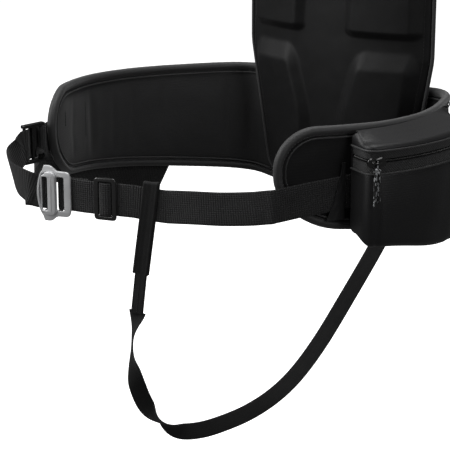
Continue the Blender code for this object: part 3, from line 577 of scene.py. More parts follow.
def tape_material(name, dark, light, pitch=0.0018, twill=0.0, rough=(0.5, 0.7), depth=0.00022, sheen=0.15,
                  thread=0.0011, shine=0.5):
    """Webbing: ribs across it and thread lines along it, from its own length and width."""
    mat, tree, bsdf = new_material(name)
    along = tree.nodes.new("ShaderNodeAttribute")
    along.attribute_name = "along"
    across = tree.nodes.new("ShaderNodeAttribute")
    across.attribute_name = "across"
    turn = 2 * math.pi / pitch
    lean = math_node(tree, "ADD", math_node(tree, "MULTIPLY", along.outputs["Fac"], turn),
                     math_node(tree, "MULTIPLY", across.outputs["Fac"], turn * twill))
    ribs = math_node(tree, "SINE", lean)
    threads = math_node(tree, "SINE", math_node(tree, "MULTIPLY", across.outputs["Fac"],
                                                2 * math.pi / thread))
    coord = tree.nodes.new("ShaderNodeTexCoord").outputs["Object"]
    grain = link_noise(tree, 1100.0, 2.0, 0.5, coord)
    height = math_node(tree, "ADD", math_node(tree, "MULTIPLY", ribs, 0.35),
                       math_node(tree, "ADD", math_node(tree, "MULTIPLY", threads, 0.2), grain))
    shade = math_node(tree, "ADD", math_node(tree, "MULTIPLY", spread(tree, ribs, 0.0, 1.0, -1.0, 1.0), 0.5),
                      math_node(tree, "MULTIPLY", spread(tree, link_noise(tree, 25.0, 4.0, 0.6, coord), 0.0,
                                                         1.0), 0.5))
    tint(tree, bsdf, shade, dark, light)
    tree.links.new(spread(tree, grain, rough[0], rough[1]), bsdf.inputs["Roughness"])
    bump(tree, bsdf, height, depth)
    bsdf.inputs["Sheen Weight"].default_value = sheen
    bsdf.inputs["Specular IOR Level"].default_value = shine
    return mat


def plain_material(name, dark, light, rough, metallic=0.0, grain=600.0, depth=0.00004, coat=0.0, coarse=40.0):
    """Moulded plastic or metal: fine grain, and slow changes in shade and gloss."""
    mat, tree, bsdf = new_material(name)
    coord = tree.nodes.new("ShaderNodeTexCoord").outputs["Object"]
    fine = link_noise(tree, grain, 3.0, 0.6, coord)
    slow = link_noise(tree, coarse, 4.0, 0.6, coord)
    tint(tree, bsdf, spread(tree, slow, 0.0, 1.0), dark, light)
    tree.links.new(spread(tree, fine, rough[0], rough[1]), bsdf.inputs["Roughness"])
    bump(tree, bsdf, fine, depth)
    bsdf.inputs["Metallic"].default_value = metallic
    bsdf.inputs["Coat Weight"].default_value = coat
    return mat


MATERIALS = {
    "moulded_foam": cloth_material("panel_laminate", (0.0028, 0.0028, 0.0030), (0.0066, 0.0066, 0.0070),
                                   (0.42, 0.66), 1300.0,
                                   0.00022, 0.02, 70.0, 0.0, 0.26),
    "wing_fabric": cloth_material("wing_nylon", (0.0080, 0.0080, 0.0086), (0.0140, 0.0140, 0.0148),
                                  (0.56, 0.76), 1500.0,
                                  0.00014, 0.16, shine=0.5),
    "binding": cloth_material("edge_binding", (0.0075, 0.0075, 0.0080), (0.0190, 0.0190, 0.0200),
                              (0.50, 0.70), 1700.0,
                              0.00014, 0.25, shine=0.6),
    "webbing": tape_material("belt_webbing", (0.0018, 0.0018, 0.0020), (0.0230, 0.0230, 0.0238), 0.0028,
                             depth=0.0007,
                             thread=0.0024, shine=0.32),
    "strap": tape_material("leg_webbing", (0.0024, 0.0024, 0.0026), (0.0125, 0.0125, 0.0129), 0.0016, 0.6,
                            (0.6, 0.85), sheen=0.06, shine=0.26),
    "zip_tape": tape_material("zip_twill", (0.0015, 0.0015, 0.0016), (0.0230, 0.0230, 0.0238), 0.0030, 1.0,
                              (0.55, 0.75), 0.0008),
    "pocket_nylon": cloth_material("pocket_satin", (0.0066, 0.0066, 0.0072), (0.0112, 0.0112, 0.0120),
                                   (0.38, 0.52),
                                   1900.0, 0.00009, 0.05, 18.0),
    "black_plastic": plain_material("satin_plastic", (0.0075, 0.0075, 0.0075), (0.0125, 0.0125, 0.0125),
                                    (0.24, 0.36)),
    "slider_gloss": plain_material("gloss_black", (0.0025, 0.0025, 0.0025), (0.0040, 0.0040, 0.0040),
                                   (0.10, 0.18),
                                   coat=0.9, depth=0.00001),
    "glide_gloss": plain_material("bright_black", (0.0110, 0.0110, 0.0110), (0.0170, 0.0170, 0.0170),
                                  (0.18, 0.28),
                                  coat=0.9, depth=0.00001),
    # A darker copy of the wing nylon, used on the right wing only: painted shade, since both wings are the
    # same fabric.
    "shaded_wing": cloth_material("shaded_wing_nylon", (0.0030, 0.0030, 0.0033), (0.0062, 0.0062, 0.0066),
                                 (0.62, 0.82), 1500.0,
                                 0.00014, 0.06, shine=0.22),
    "buckle_metal": plain_material("blasted_alloy", (0.70, 0.705, 0.715), (0.82, 0.825, 0.835),
                                   (0.40, 0.52), 0.75,
                                   2600.0, 0.00005, 0.0, 60.0),
    "stay_metal": plain_material("bar_alloy", (0.55, 0.55, 0.57), (0.65, 0.65, 0.67), (0.30, 0.45), 1.0),
    "pull_cord": cloth_material("cord_braid", (0.0040, 0.0040, 0.0042), (0.0110, 0.0110, 0.0112),
                                (0.6, 0.8), 2600.0,
                                0.0002, 0.10),
    "thread": cloth_material("stitch_thread", (0.0110, 0.0110, 0.0116), (0.0190, 0.0190, 0.0200),
                             (0.55, 0.70), 3500.0,
                             0.00005, 0.04)}


def place(obj, slot, material=None, body="belt", nodes=()):
    """Give a piece its material and its body, and hide the CAD nodes that it stands for."""
    obj.data.materials.clear()
    obj.data.materials.append(MATERIALS[material or slot])
    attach(obj, body)
    if nodes:
        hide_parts(*nodes)
    return obj


add_camera()
add_studio()


# ---- leg strap and zip pull: the cords ------------------------------------------------------
def strap_width_vector(tangent, twist):
    flat = tangent.cross(STRAP_FACES).normalized()
    return Matrix.Rotation(math.radians(twist), 3, tangent) @ flat


def make_leg_strap():
    fine = 10
    centres = smooth_path([p for p, _ in STRAP_ROUTE], fine)
    twists = smooth_path([(t, 0, 0) for _, t in STRAP_ROUTE], fine)
    sides = [strap_width_vector(t, w.x) for t, w in zip(tangents(centres), twists)]
    strap = tape("leg_strap_tape", centres, sides, STRAP_W, STRAP_T, 0.0008, 0.00006, 10)
    place(strap, "webbing", "strap", nodes=("leg_strap",))
    # folded end and cross stitches where the tape is sewn to the loop
    top = belt_frame(LOOP_AT_X) @ Vector((-LOOP_LEAN * 0.94, 0, -LOOP_LOW + 0.005))
    end = centres[0] + (centres[6] - centres[0]) * 0.25
    joint = tape("strap_joint_fold", [top.lerp(end, t / 8) for t in range(9)], [BELT_DIR] * 9, 0.0150,
                 0.0036, 0.0008,
                 0.00008, 10)
    place(joint, "webbing", "strap", nodes=("strap_joint",))
    bars = Shape()
    front = Vector((BELT_DIR.y, -BELT_DIR.x, 0))
    for dx in (-0.0058, 0.0, 0.0058):
        line = [top.lerp(end, t) + BELT_DIR * dx + front * 0.00205 for t in (0.06, 0.35, 0.65, 0.94)]
        bars.dashes(line, [front] * len(line), 0.0021, 0.0016, 0.00028)
    place(bars.done("strap_joint_stitches"), "webbing", "thread")


def make_anchor():
    line = smooth_path([(ANCHOR_X, y, z) for y, z in ((-0.0152, -0.1622), (-0.0130, -0.1590),
                                                      (-0.0108, -0.1550),
                                                      (-0.0105, -0.1450))], 5)
    anchor = tape("strap_anchor_tape", line, [Vector((1, 0, 0))] * len(line), 0.025, 0.0016, 0.0008,
                  0.00008, 10)
    place(anchor, "webbing", "strap", nodes=("strap_anchor",))


def arc_centre():
    (ax, ay), (bx, by), (cx, cy) = POCKET_ARC
    d = 2 * (ax * (by - cy) + bx * (cy - ay) + cx * (ay - by))
    ux = ((ax * ax + ay * ay) * (by - cy) + (bx * bx + by * by) * (cy - ay) + (cx * cx + cy * cy)
          * (ay - by)) / d
    uy = ((ax * ax + ay * ay) * (cx - bx) + (bx * bx + by * by) * (ax - cx) + (cx * cx + cy * cy)
          * (bx - ax)) / d
    centre = Vector((ux, uy, 0))
    return centre, (Vector((ax, ay, 0)) - centre).length


ARC_CENTRE, ARC_RADIUS = arc_centre()


def arc_point(angle, grow=0.0):
    a = math.radians(angle)
    return ARC_CENTRE + Vector((math.cos(a), math.sin(a), 0)) * (ARC_RADIUS + grow)


def arc_angle(point):
    return math.degrees(math.atan2(point[1] - ARC_CENTRE.y, point[0] - ARC_CENTRE.x))


ARC_FRONT, ARC_REAR = arc_angle(POCKET_ARC[0]), arc_angle(POCKET_ARC[2])


def slider_frame(turn=0.0):
    angle = ARC_FRONT + SLIDER_ANGLE + turn
    outward = (arc_point(angle) - ARC_CENTRE).normalized()
    along = Vector((-outward.y, outward.x, 0))
    spot = arc_point(angle) + Vector((0, 0, ZIP_Z))
    return Matrix.Translation(spot) @ Matrix((along, -outward, UP)).transposed().to_4x4()


def make_pull():
    """Two cord ends below a knot, and a short loop through the slider's hoop."""
    at = slider_frame()
    depth, radius = -0.0063, 0.00165
    knot_z = -0.0088
    fleck_mat = pull_material()
    for index, (dx, dy, low) in enumerate(((-0.0021, 0.0, -0.0488), (0.0021, 0.0006, -0.0450))):
        line = smooth_path([at @ Vector(p) for p in (
            (dx * 0.5, depth, knot_z - 0.001), (dx * 1.0, depth + dy, -0.0160),
            (dx * 1.25, depth + dy, -0.0240),
            (dx * 1.05, depth + dy * 0.5, -0.0330), (dx * 1.3, depth, low))], 8)
        shape = Shape()
        shape.tube(line, [radius] * (len(line) - 2) + [radius * 0.96, radius * 0.6], 12)
        strand = shape.done("pull_strand_%d" % (index + 1))
        place(strand, "pull_cord", body="pull", nodes=("zip_pull",) if index == 0 else ())
        strand.data.materials[0] = fleck_mat
    knot = Shape()
    loops = []
    for i in range(49):
        a = 2 * math.pi * i / 48
        loops.append(at @ Vector((0.0021 * math.cos(a) * (1 + 0.25 * math.cos(2 * a)),
                                  depth + 0.0014 * math.sin(2 * a),
                                  knot_z + 0.0019 * math.sin(a) + 0.0009 * math.sin(3 * a))))
    knot.tube(loops, radius * 0.95, 10, closed=True)
    ring = []
    for i in range(25):
        a = 2 * math.pi * i / 24
        ring.append(at @ Vector((0.00035 * math.sin(a), depth + 0.00145 * math.sin(a) * 0.9,
                                 -0.0042 + 0.0036 * math.cos(a))))
    knot.tube(ring, radius * 0.4, 8, closed=True, up=Vector((1, 0, 0)))
    knot_obj = knot.done("pull_knot")
    place(knot_obj, "pull_cord", body="pull")
    knot_obj.data.materials[0] = fleck_mat


def pull_material():
    """Black braided cord with short pale reflective flecks."""
    mat = MATERIALS["pull_cord"].copy()
    mat.name = "cord_flecked"
    tree = mat.node_tree
    bsdf = tree.nodes["Principled BSDF"]
    coord = tree.nodes.new("ShaderNodeTexCoord").outputs["Object"]
    scale = tree.nodes.new("ShaderNodeVectorMath")
    scale.operation = "MULTIPLY"
    scale.inputs[1].default_value = (1.0, 1.0, 0.55)
    tree.links.new(coord, scale.inputs[0])
    cells = tree.nodes.new("ShaderNodeTexVoronoi")
    cells.inputs["Scale"].default_value = 620.0
    tree.links.new(scale.outputs[0], cells.inputs["Vector"])
    pick = tree.nodes.new("ShaderNodeSeparateColor")
    tree.links.new(cells.outputs["Color"], pick.inputs[0])
    fleck = math_node(tree, "GREATER_THAN", pick.outputs[0], 0.76)
    tint(tree, bsdf, fleck, (0.008, 0.008, 0.008), (0.34, 0.35, 0.36))
    return mat


make_leg_strap()
make_anchor()
make_pull()


# ---- back panel -----------------------------------------------------------------------------
def panel_half(z):
    t = min(max((z - PANEL_BOTTOM) / (PANEL_TAPER_END - PANEL_BOTTOM), 0.0), 1.0)
    return PANEL_HALF_BOTTOM + (PANEL_HALF_TOP - PANEL_HALF_BOTTOM) * t


def bevel_ramp(value, low, high):
    """A straight bevel with a short rounding at both ends."""
    t = (value - low) / (high - low)
    soft = 0.12
    if t <= -soft:
        return 0.0
    if t >= 1 + soft:
        return 1.0
    if t < soft:
        return (t + soft) ** 2 / (4 * soft)
    if t > 1 - soft:
        return 1 - (1 + soft - t) ** 2 / (4 * soft)
    return t


def corner_min(a, b, radius=1.35):
    """The smaller of two distances from an edge, with the corner between the edges rounded."""
    if a >= radius or b >= radius:
        return min(a, b)
    return radius - math.hypot(radius - a, radius - b)


def pad_rise(x, z):
    ax = abs(x)
    side = (panel_half(z) - ax - 0.007) / 0.012
    channel = 0.020 + 0.022 * ramp(z, -0.060, 0.040)
    best = 0.0
    for low, high, inner in (((z + 0.141) / 0.014, (0.038 - z) / 0.022, (ax - channel - 0.001) / 0.014),
                             ((z - 0.055) / 0.008, (0.145 - z) / 0.012, (ax - 0.031) / 0.012)):
        near = min(corner_min(side, low), corner_min(side, high), corner_min(inner, low),
                   corner_min(inner, high))
        best = max(best, bevel_ramp(near, 0.0, 1.0))
    return PAD_RISE * best


def panel_front(x, z):
    u = min(abs(x) / panel_half(z), 1.0)
    lumbar = 0.006 * math.exp(-((z - 0.010) / 0.09) ** 2)
    crown = (PANEL_CROWN + lumbar) * (1 - u * u)
    return -(PANEL_REAR + PANEL_EDGE + crown + pad_rise(x, z))


def panel_outline(grow, steps=14):
    right = []
    for i in range(steps + 1):
        a = math.radians(-90 + 90 * i / steps)
        z = PANEL_BOTTOM + PANEL_CORNER * (1 + math.sin(a))
        right.append((panel_half(z) - PANEL_CORNER + (PANEL_CORNER + grow) * math.cos(a),
                      z + grow * math.sin(a)))
    right += [(panel_half(z) + grow, z) for z in [-0.115 + 0.010 * k for k in range(24)]]
    for i in range(steps + 1):
        a = math.radians(90 * i / steps)
        z = PANEL_TOP - PANEL_CORNER * (1 - math.sin(a))
        right.append((panel_half(z) - PANEL_CORNER + (PANEL_CORNER + grow) * math.cos(a),
                      z + grow * math.sin(a)))
    return right + [(-x, z) for x, z in reversed(right)]


def panel_edge_half(z):
    cut = max(0.0, PANEL_CORNER - (z - PANEL_BOTTOM), PANEL_CORNER - (PANEL_TOP - z))
    return panel_half(z) - (PANEL_CORNER - math.sqrt(max(PANEL_CORNER ** 2 - cut ** 2, 0.0)))


def make_panel():
    """Moulded foam under laminated fabric: four bevelled pads, a rounded edge and a flat back."""
    across, up = 150, 170
    verts, faces = [], []
    edge_round = 0.006
    for j in range(up + 1):
        z = PANEL_BOTTOM + 0.0003 + j / up * (PANEL_TOP - PANEL_BOTTOM - 0.0006)
        half = panel_edge_half(z)
        for i in range(across + 1):
            u = math.sin(math.pi / 2 * (2 * i / across - 1) * 0.96) / math.sin(math.pi / 2 * 0.96)
            x = u * half
            near = min(half - abs(x), 0.7 * (z - PANEL_BOTTOM), 0.7 * (PANEL_TOP - z), edge_round)
            fall = edge_round - math.sqrt(max(edge_round ** 2 - (edge_round - near) ** 2, 0.0))
            ripple = 0.00035 * noise.noise(Vector((x * 45, z * 45, 3.0)))
            verts.append(Vector((x, panel_front(x, z) + fall * 0.8 + ripple, z)))
    row = across + 1
    for j in range(up):
        for i in range(across):
            faces.append((j * row + i, j * row + i + 1, (j + 1) * row + i + 1, (j + 1) * row + i))
    rim = [i for i in range(row)] + [j * row + across for j in range(1, up + 1)]
    rim += [up * row + i for i in reversed(range(across))] + [j * row for j in reversed(range(1, up))]
    base = len(verts)
    for k in rim:
        verts.append(Vector((verts[k].x, -PANEL_REAR - 0.0008, verts[k].z)))
    for k in range(len(rim)):
        n = (k + 1) % len(rim)
        faces.append((rim[k], rim[n], base + n, base + k))
    faces.append(tuple(base + k for k in range(len(rim))))
    panel = mesh_object("panel_skin", verts, faces, angle=75)
    place(panel, "moulded_foam", nodes=("back_panel",))
    depth = -(PANEL_REAR + PANEL_EDGE / 2)
    line = [Vector((x, depth, z)) for x, z in panel_outline(0.0028)]
    piping = Shape()
    piping.tube(resample(line + [line[0]], 0.003), 0.0024, 12, closed=True, up=Vector((0, 1, 0)))
    place(piping.done("panel_piping"), "binding", nodes=("panel_binding",))
    seam = Shape()
    rim_line = [Vector((x, panel_front(x, min(max(z, PANEL_BOTTOM), PANEL_TOP)) - 0.0001, z)) for x, z in
                panel_outline(-0.0062)]
    seam.dashes(rim_line + [rim_line[0]], [Vector((0, -1, 0))] * (len(rim_line) + 1), 0.0042, 0.0030, 0.00035)
    place(seam.done("panel_stitches"), "moulded_foam", "thread")


def make_core():
    """Fabric-covered foam core between the frame sheet and the panel."""
    front, rear = -(PANEL_REAR - 0.0004), -0.0024
    outline = rounded_rect(-0.0975, -0.1415, 0.0975, 0.1415, 0.014, 8)
    levels = [(0.004, 0.0), (0.0012, 0.0012), (0.0, 0.0035), (0.0006, 0.0060), (0.0, 0.0085),
              (0.0012, 0.0108),
              (0.004, 0.0117)]
    verts, faces = [], []
    for inset, deep in levels:
        for x, z in outline:
            scale_x, scale_z = 1 - inset / 0.0975, 1 - inset / 0.1415
            verts.append(Vector((x * scale_x, rear - deep * (rear - front) / 0.0117, z * scale_z)))
    size = len(outline)
    for i in range(len(levels) - 1):
        for k in range(size):
            n = (k + 1) % size
            faces.append((i * size + k, i * size + n, (i + 1) * size + n, (i + 1) * size + k))
    faces.append(tuple(range(size)))
    faces.append(tuple((len(levels) - 1) * size + k for k in reversed(range(size))))
    core = mesh_object("core_cover", verts, faces, angle=50)
    place(core, "moulded_foam", nodes=("lumbar_core",))


# ---- wings ----------------------------------------------------------------------------------
def puff(obj, pinned, cap, pressure=4.0, frames=20):
    """Inflate a closed mesh by cloth simulation with its border pinned, then keep the result."""
    group = obj.vertex_groups.new(name="held")
    group.add(pinned, 1.0, "REPLACE")
    before = np.empty(len(obj.data.vertices) * 3)
    obj.data.vertices.foreach_get("co", before)
    cloth = obj.modifiers.new("cloth", "CLOTH")
    cloth.settings.use_pressure = True
    cloth.settings.uniform_pressure_force = pressure
    cloth.settings.vertex_group_mass = "held"
    cloth.settings.effector_weights.gravity = 0.0
    cloth.settings.quality = 6
    cloth.settings.tension_stiffness = cloth.settings.compression_stiffness = 12.0
    cloth.settings.bending_stiffness = 1.5
    cloth.collision_settings.use_collision = False
    scene = bpy.context.scene
    for step in range(1, frames + 1):
        scene.frame_set(step)
    ready = obj.evaluated_get(bpy.context.evaluated_depsgraph_get())
    after = np.empty(len(before))
    ready.data.vertices.foreach_get("co", after)
    obj.modifiers.clear()
    scene.frame_set(1)
    move = (after - before).reshape(-1, 3)
    size = np.linalg.norm(move, axis=1, keepdims=True)
    move *= np.minimum(1.0, cap / np.maximum(size, 1e-9))
    obj.data.vertices.foreach_set("co", (before + move.reshape(-1)).ravel())
    obj.data.update()
    return obj


def make_wing(side, label):
    """Padded wing: a crowned cushion between its seams, and a rolled and stitched edge."""
    inset = RIM_R - 0.0020
    stations = wing_stations(inset, 74, 24)
    high = 26
    inner_off, outer_off = -0.0042, 0.0040
    verts = []
    for layer, offset in ((0, inner_off), (1, outer_off)):
        for s in stations:
            bottom, top = wing_edges(s, inset)
            for i in range(high + 1):
                f = 0.5 - 0.5 * math.cos(math.pi * i / high)
                f = 0.35 * f + 0.65 * i / high
                z = bottom + (top - bottom) * f
                near = min(i, high - i)
                pinch = 0.0024 * math.exp(-near / 1.6)
                shift = pinch if layer == 0 else -pinch
                wave = 0.0005 * noise.noise(Vector((s * 14, z * 18, 5.0 + side + 7 * layer)))
                verts.append(wing_plan(s, offset + shift + wave, side) + Vector((0, 0, z)))
    rows = len(stations) - 1
    wing = closed_patch("wing_cushion_" + label, verts, rows, high, 60)
    border = patch_border(rows, high)
    size = len(verts) // 2
    puff(wing, border + [size + b for b in border], 0.0016)
    sub = wing.modifiers.new("smooth", "SUBSURF")
    sub.levels = sub.render_levels = 1
    apply_modifiers(wing)
    # The right wing takes the darker copy of the wing nylon: painted shade on the same fabric as the left
    # wing.
    place(wing, "wing_fabric", "shaded_wing" if side > 0 else None,
          nodes=("wing_pad_" + label, "wing_shell_" + label))
    edge_stations = wing_stations(0.0, 90, 40)
    upper = [(s, wing_edges(s, 0.0)[1]) for s in edge_stations]
    lower = [(s, wing_edges(s, 0.0)[0]) for s in reversed(edge_stations)]
    line = [wing_plan(s, 0.0, side) + Vector((0, 0, z)) for s, z in upper + lower[1:]]
    even = resample(line, 0.0028)
    radii = [RIM_R * (0.965 + 0.03 * noise.noise(p * 60) + 0.012 * math.sin(i * 1.9)) for i,
             p in enumerate(even)]
    rim = Shape()
    rim.tube(even, radii, 18)
    place(rim.done("wing_edge_" + label, 80), "binding", nodes=("wing_rim_" + label,))
    # raised seam where the rolled edge meets the cushion, on both faces, with its stitches
    cord, thread = Shape(), Shape()
    deep = RIM_R + 0.0018
    for face, offset in ((-1, -0.0047), (1, 0.0047)):
        seam_stations = wing_stations(deep, 90, 40)
        up_line = [(s, wing_edges(s, deep)[1]) for s in seam_stations]
        low_line = [(s, wing_edges(s, deep)[0]) for s in reversed(seam_stations)]
        points = [wing_plan(s, offset, side) + Vector((0, 0, z)) for s, z in up_line + low_line[1:]]
        normals = []
        for s, _ in up_line + low_line[1:]:
            normals.append((wing_plan(s, offset, side) - wing_plan(s, 0.0, side)).normalized())
        cord.tube(resample([p - n * 0.0004 for p, n in zip(points, normals)], 0.003), 0.0009, 8)
        around = []
        mid = [wing_plan(s, 0.0, side) + Vector((0, 0, z)) for s, z in up_line + low_line[1:]]
        for k, (s, z) in enumerate(upper + lower[1:]):
            n = (wing_plan(s, offset, side) - wing_plan(s, 0.0, side)).normalized()
            inward = (mid[min(k, len(mid) - 1)] - line[k])
            inward = (inward - n * inward.dot(n)).normalized()
            around.append((line[k] + (inward * 0.62 + n * 0.78) * RIM_R * 0.985, (inward * 0.62 + n * 0.78)))
        thread.dashes([p for p, _ in around], [n for _, n in around], 0.0040, 0.0029, 0.00034)
    place(cord.done("wing_seam_" + label), "binding")
    place(thread.done("wing_stitches_" + label), "binding", "thread")


def wing_bars(side, label, rows, offset):
    """Upright bartack rows on a wing face: each row is a wing length and two heights."""
    bars = Shape()
    for s, low, high in rows:
        points = [wing_plan(s, offset, side) + Vector((0, 0, low + (high - low) * t / 10)) for t in range(11)]
        normal = (wing_plan(s, offset, side) - wing_plan(s, 0.0, side)).normalized()
        bars.dashes(points, [normal] * 11, 0.0019, 0.0011, 0.00036, 0.0006)
    place(bars.done("wing_bartacks_" + label), "wing_fabric", "thread")


# ---- webbing --------------------------------------------------------------------------------
def pin_wrap(pin_x, side, lead):
    r = PIN_R + 0.0003 + WEB_T / 2
    back, front = PIN_DEPTH + r, PIN_DEPTH - r
    points = [belt_point(pin_x + side * lead, back), belt_point(pin_x + side * 0.004, back)]
    for i in range(13):
        a = math.radians(90 - 15 * i)
        points.append(belt_point(pin_x - side * r * math.cos(a), PIN_DEPTH + r * math.sin(a)))
    return points + [belt_point(pin_x + side * 0.004, front)]


def make_right_webbing():
    behind = PLATE_T / 2 + 0.0003 + WEB_T / 2
    straight = [belt_point(x, y, z) for x, y, z in (
        (0.014, behind, 0.0), (0.0225, behind, 0.0), (0.034, 0.0008, 0.0), (0.044, 0.0, 0.0),
        (0.064, 0.0, 0.0),
        (0.098, 0.0, 0.0), (0.110, 0.0, -0.0010), (0.125, 0.0, -0.0020), (0.138, 0.0, -0.0024))]
    bend = [Vector(p) for p in ((0.085, -0.4130, -0.0830), (0.118, -0.4025, -0.0812),
                                (0.148, -0.3918, -0.0780),
                                (0.164, -0.3840, -0.0756), (0.1717, -0.3804, -0.0742))]
    free = straight + smooth_path([straight[-1]] + bend + [wing_point_out(WING_LENGTH, -0.0735)], 6)[1:-1]
    on_wing = []
    for i in range(15):
        s = WING_LENGTH - i * (WING_LENGTH - POCKET_FRONT_S + 0.022) / 14
        on_wing.append(wing_point_out(s, -0.0735 + 0.009 * i / 14))
    points = pin_wrap(FRAME_PIN_X, 1, 0.034) + free + on_wing
    web = tape("belt_webbing_right", points, upright(points), WEB_W, WEB_T, 0.0014, 0.00018)
    place(web, "webbing", nodes=("right_webbing",))


def make_left_webbing():
    lock = lock_frame()
    r = LOCK_BAR_R + 0.0003 + WEB_T / 2
    loop = smooth_path([belt_point(-0.0225, 0.0028), (-0.110, -0.4702, -0.0785), (-0.130, -0.4672, -0.0745),
                        (-0.148, -0.4585, -0.0690), (-0.1605, -0.4460, -0.0625),
                        lock @ Vector((LOCK_BARS[2] + 0.009, -r - 0.0012, -0.005)),
                        lock @ Vector((LOCK_BARS[2] + 0.0045, -r - 0.0003, -0.0006)),
                        lock @ Vector((LOCK_BARS[2] + 0.001, -r, 0))], 6)
    lock_part = [lock @ Vector(p) for p in ((0.0235, -r, 0), (0.0205, -0.0012, 0), (0.0172, 0.0016, 0),
                                            (0.015, r, 0), (0.013, r + 0.0002, 0), (0.007, r + 0.0012, 0),
                                            (0.0, 0.0052, 0))]
    tail = smooth_path([lock_part[-1], (-0.1840, -0.3860, -0.0690), (-0.2050, -0.3610, -0.0870),
                        (-0.2250, -0.3120, -0.1030), (-0.2350, -0.2550, -0.1200),
                        (-0.2375, -0.1950, -0.1380), (-0.2310, -0.1550, -0.1465),
                        (-0.2165, -0.1040, -0.1540)], 6)
    wrap = pin_wrap(TONGUE_PIN_X, -1, 0.030)
    points = wrap + loop + lock_part + tail[1:]
    sides = []
    for i in range(len(points)):
        t = min(max((i - len(wrap)) / (len(loop) - 1) / LOOP_LEAN_END, 0.0), 1.0)
        sides.append((UP + LOOP_SIDE * LOOP_LEAN_MOST * math.sin(math.pi * t ** 1.4) ** 1.3).normalized())
    web = tape("belt_webbing_left", points, sides, WEB_W, WEB_T, 0.0014, 0.00018, slant=0.016)
    place(web, "webbing", nodes=("left_webbing",))
    on_wing = [wing_point_out(WING_LENGTH - 0.055 + 0.0115 * i, LOCK_AT.z, -1) for i in range(5)]
    turn = [lock @ Vector((r * math.cos(math.radians(90 - 15 * i)), r * math.sin(math.radians(90 - 15 * i)),
                           0))
            for i in range(13)]
    end = [lock @ Vector((-0.003, -r, 0)), lock @ Vector((-0.006, -r + 0.0006, 0))]
    points = on_wing + [lock @ Vector((-0.004, r + 0.0006, 0))] + turn + end
    anchor = tape("anchor_webbing_left", points, upright(points), WEB_W, WEB_T)
    place(anchor, "webbing", nodes=("left_anchor_webbing",))


def make_lock():
    """Ladder lock with rounded rails and bars."""
    at = lock_frame()
    pieces = []
    for sign in (-1, 1):
        low, high = sorted((sign * 0.0196, sign * 0.0238))
        pieces.append(bar_box("rail", (-0.0042, -0.0036, low), (0.0287, 0.0036, high), at, 0.0013))
    for bar in LOCK_BARS:
        shape = Shape()
        shape.tube([at @ Vector((bar, 0, z)) for z in (-0.0215, -0.010, 0.0, 0.010, 0.0215)], LOCK_BAR_R, 16,
                   up=Vector((1, 0, 0)))
        pieces.append(shape.done("bar"))
    place(join("ladder_lock_body", *pieces), "black_plastic", nodes=("ladder_lock",))


# ---- buckle ---------------------------------------------------------------------------------
def mirrored(half):
    return half + [(x, -z) for x, z in reversed(half) if abs(z) > 1e-6]


def make_buckle():
    at = belt_frame(0) @ UPRIGHT
    half = [(0.0210, 0.0), (0.0210, 0.009), (0.0210, 0.018), (0.0195, 0.0235), (0.0165, 0.0258),
            (0.0100, 0.0262),
            (0.0045, 0.0265), (0.0005, 0.0290), (-0.0035, 0.0318), (-0.0100, 0.0322), (-0.0122, 0.0312),
            (-0.0140, 0.0265), (-0.0170, 0.0220), (-0.0195, 0.0140), (-0.0208, 0.0070), (-0.0212, 0.0)]
    window = [(-0.0012, 0.0), (-0.0012, 0.012), (-0.0012, 0.0236), (-0.0016, 0.0240), (-0.0126, 0.0240),
              (-0.0132, 0.0236),
              (-0.0160, 0.0190), (-0.0176, 0.0090), (-0.0180, 0.0)]
    outer = smooth_loop(mirrored(half), 4)
    slot = rounded_rect(0.0030, -0.0196, 0.0127, 0.0196, 0.002)
    pieces = [plate("frame_plate", [outer, slot, smooth_loop(mirrored(window), 3)], PLATE_T, at, 0.0007)]
    axes = belt_frame(0)
    for sign in (-1, 1):
        low, high = sorted((sign * 0.0196, sign * 0.0232))
        pieces.append(bar_box("ear", (FRAME_PIN_X - 0.0022, 0.0008, low),
                              (FRAME_PIN_X + 0.0022, 0.0070, high), axes,
                              0.0006))
    pin = Shape()
    pin.tube([belt_point(FRAME_PIN_X, PIN_DEPTH, z) for z in (-0.021, 0.0, 0.021)], PIN_R, 14, up=BELT_DIR)
    pieces.append(pin.done("pin"))
    place(join("buckle_frame_body", *pieces), "buckle_metal", nodes=("buckle_frame",))

    place_tongue = belt_frame(0, -(PLATE_T + 0.0003)) @ UPRIGHT
    half = [(0.0030, 0.0), (0.0030, 0.0100), (0.0030, 0.0200), (0.0021, 0.0230), (-0.0005, 0.0247),
            (-0.0030, 0.0250),
            (-0.0070, 0.0250), (-0.0092, 0.0243), (-0.0104, 0.0222), (-0.0118, 0.0216), (-0.0138, 0.0200),
            (-0.0148, 0.0175), (-0.0148, 0.0090), (-0.0148, 0.0)]
    slot = rounded_rect(-0.0135, -0.0196, -0.0064, 0.0196, 0.002)
    pieces = [plate("tongue_plate", [smooth_loop(mirrored(half), 3), slot], PLATE_T, place_tongue, 0.0006)]
    for sign in (-1, 1):
        low, high = sorted((sign * 0.0196, sign * 0.0226))
        pieces.append(bar_box("ear", (TONGUE_PIN_X - 0.0020, -0.0025, low),
                              (TONGUE_PIN_X + 0.0020, 0.0062, high),
                              axes, 0.0006))
    pin = Shape()
    pin.tube([belt_point(TONGUE_PIN_X, PIN_DEPTH, z) for z in (-0.021, 0.0, 0.021)], PIN_R, 14, up=BELT_DIR)
    pieces.append(pin.done("pin"))
    # raised rib along the tongue, proud of its face
    rib = Shape()
    rib.tube([belt_point(-0.0020, -(PLATE_T * 1.5 + 0.0002), z) for z in np.linspace(-0.0205, 0.0205, 15)],
             [0.0004 + 0.0007 * math.sin(math.pi * (i + 0.4) / 14.8) ** 0.4 for i in range(15)], 12,
             up=BELT_DIR)
    pieces.append(rib.done("rib"))
    place(join("buckle_tongue_body", *pieces), "buckle_metal", body="tongue", nodes=("buckle_tongue",))


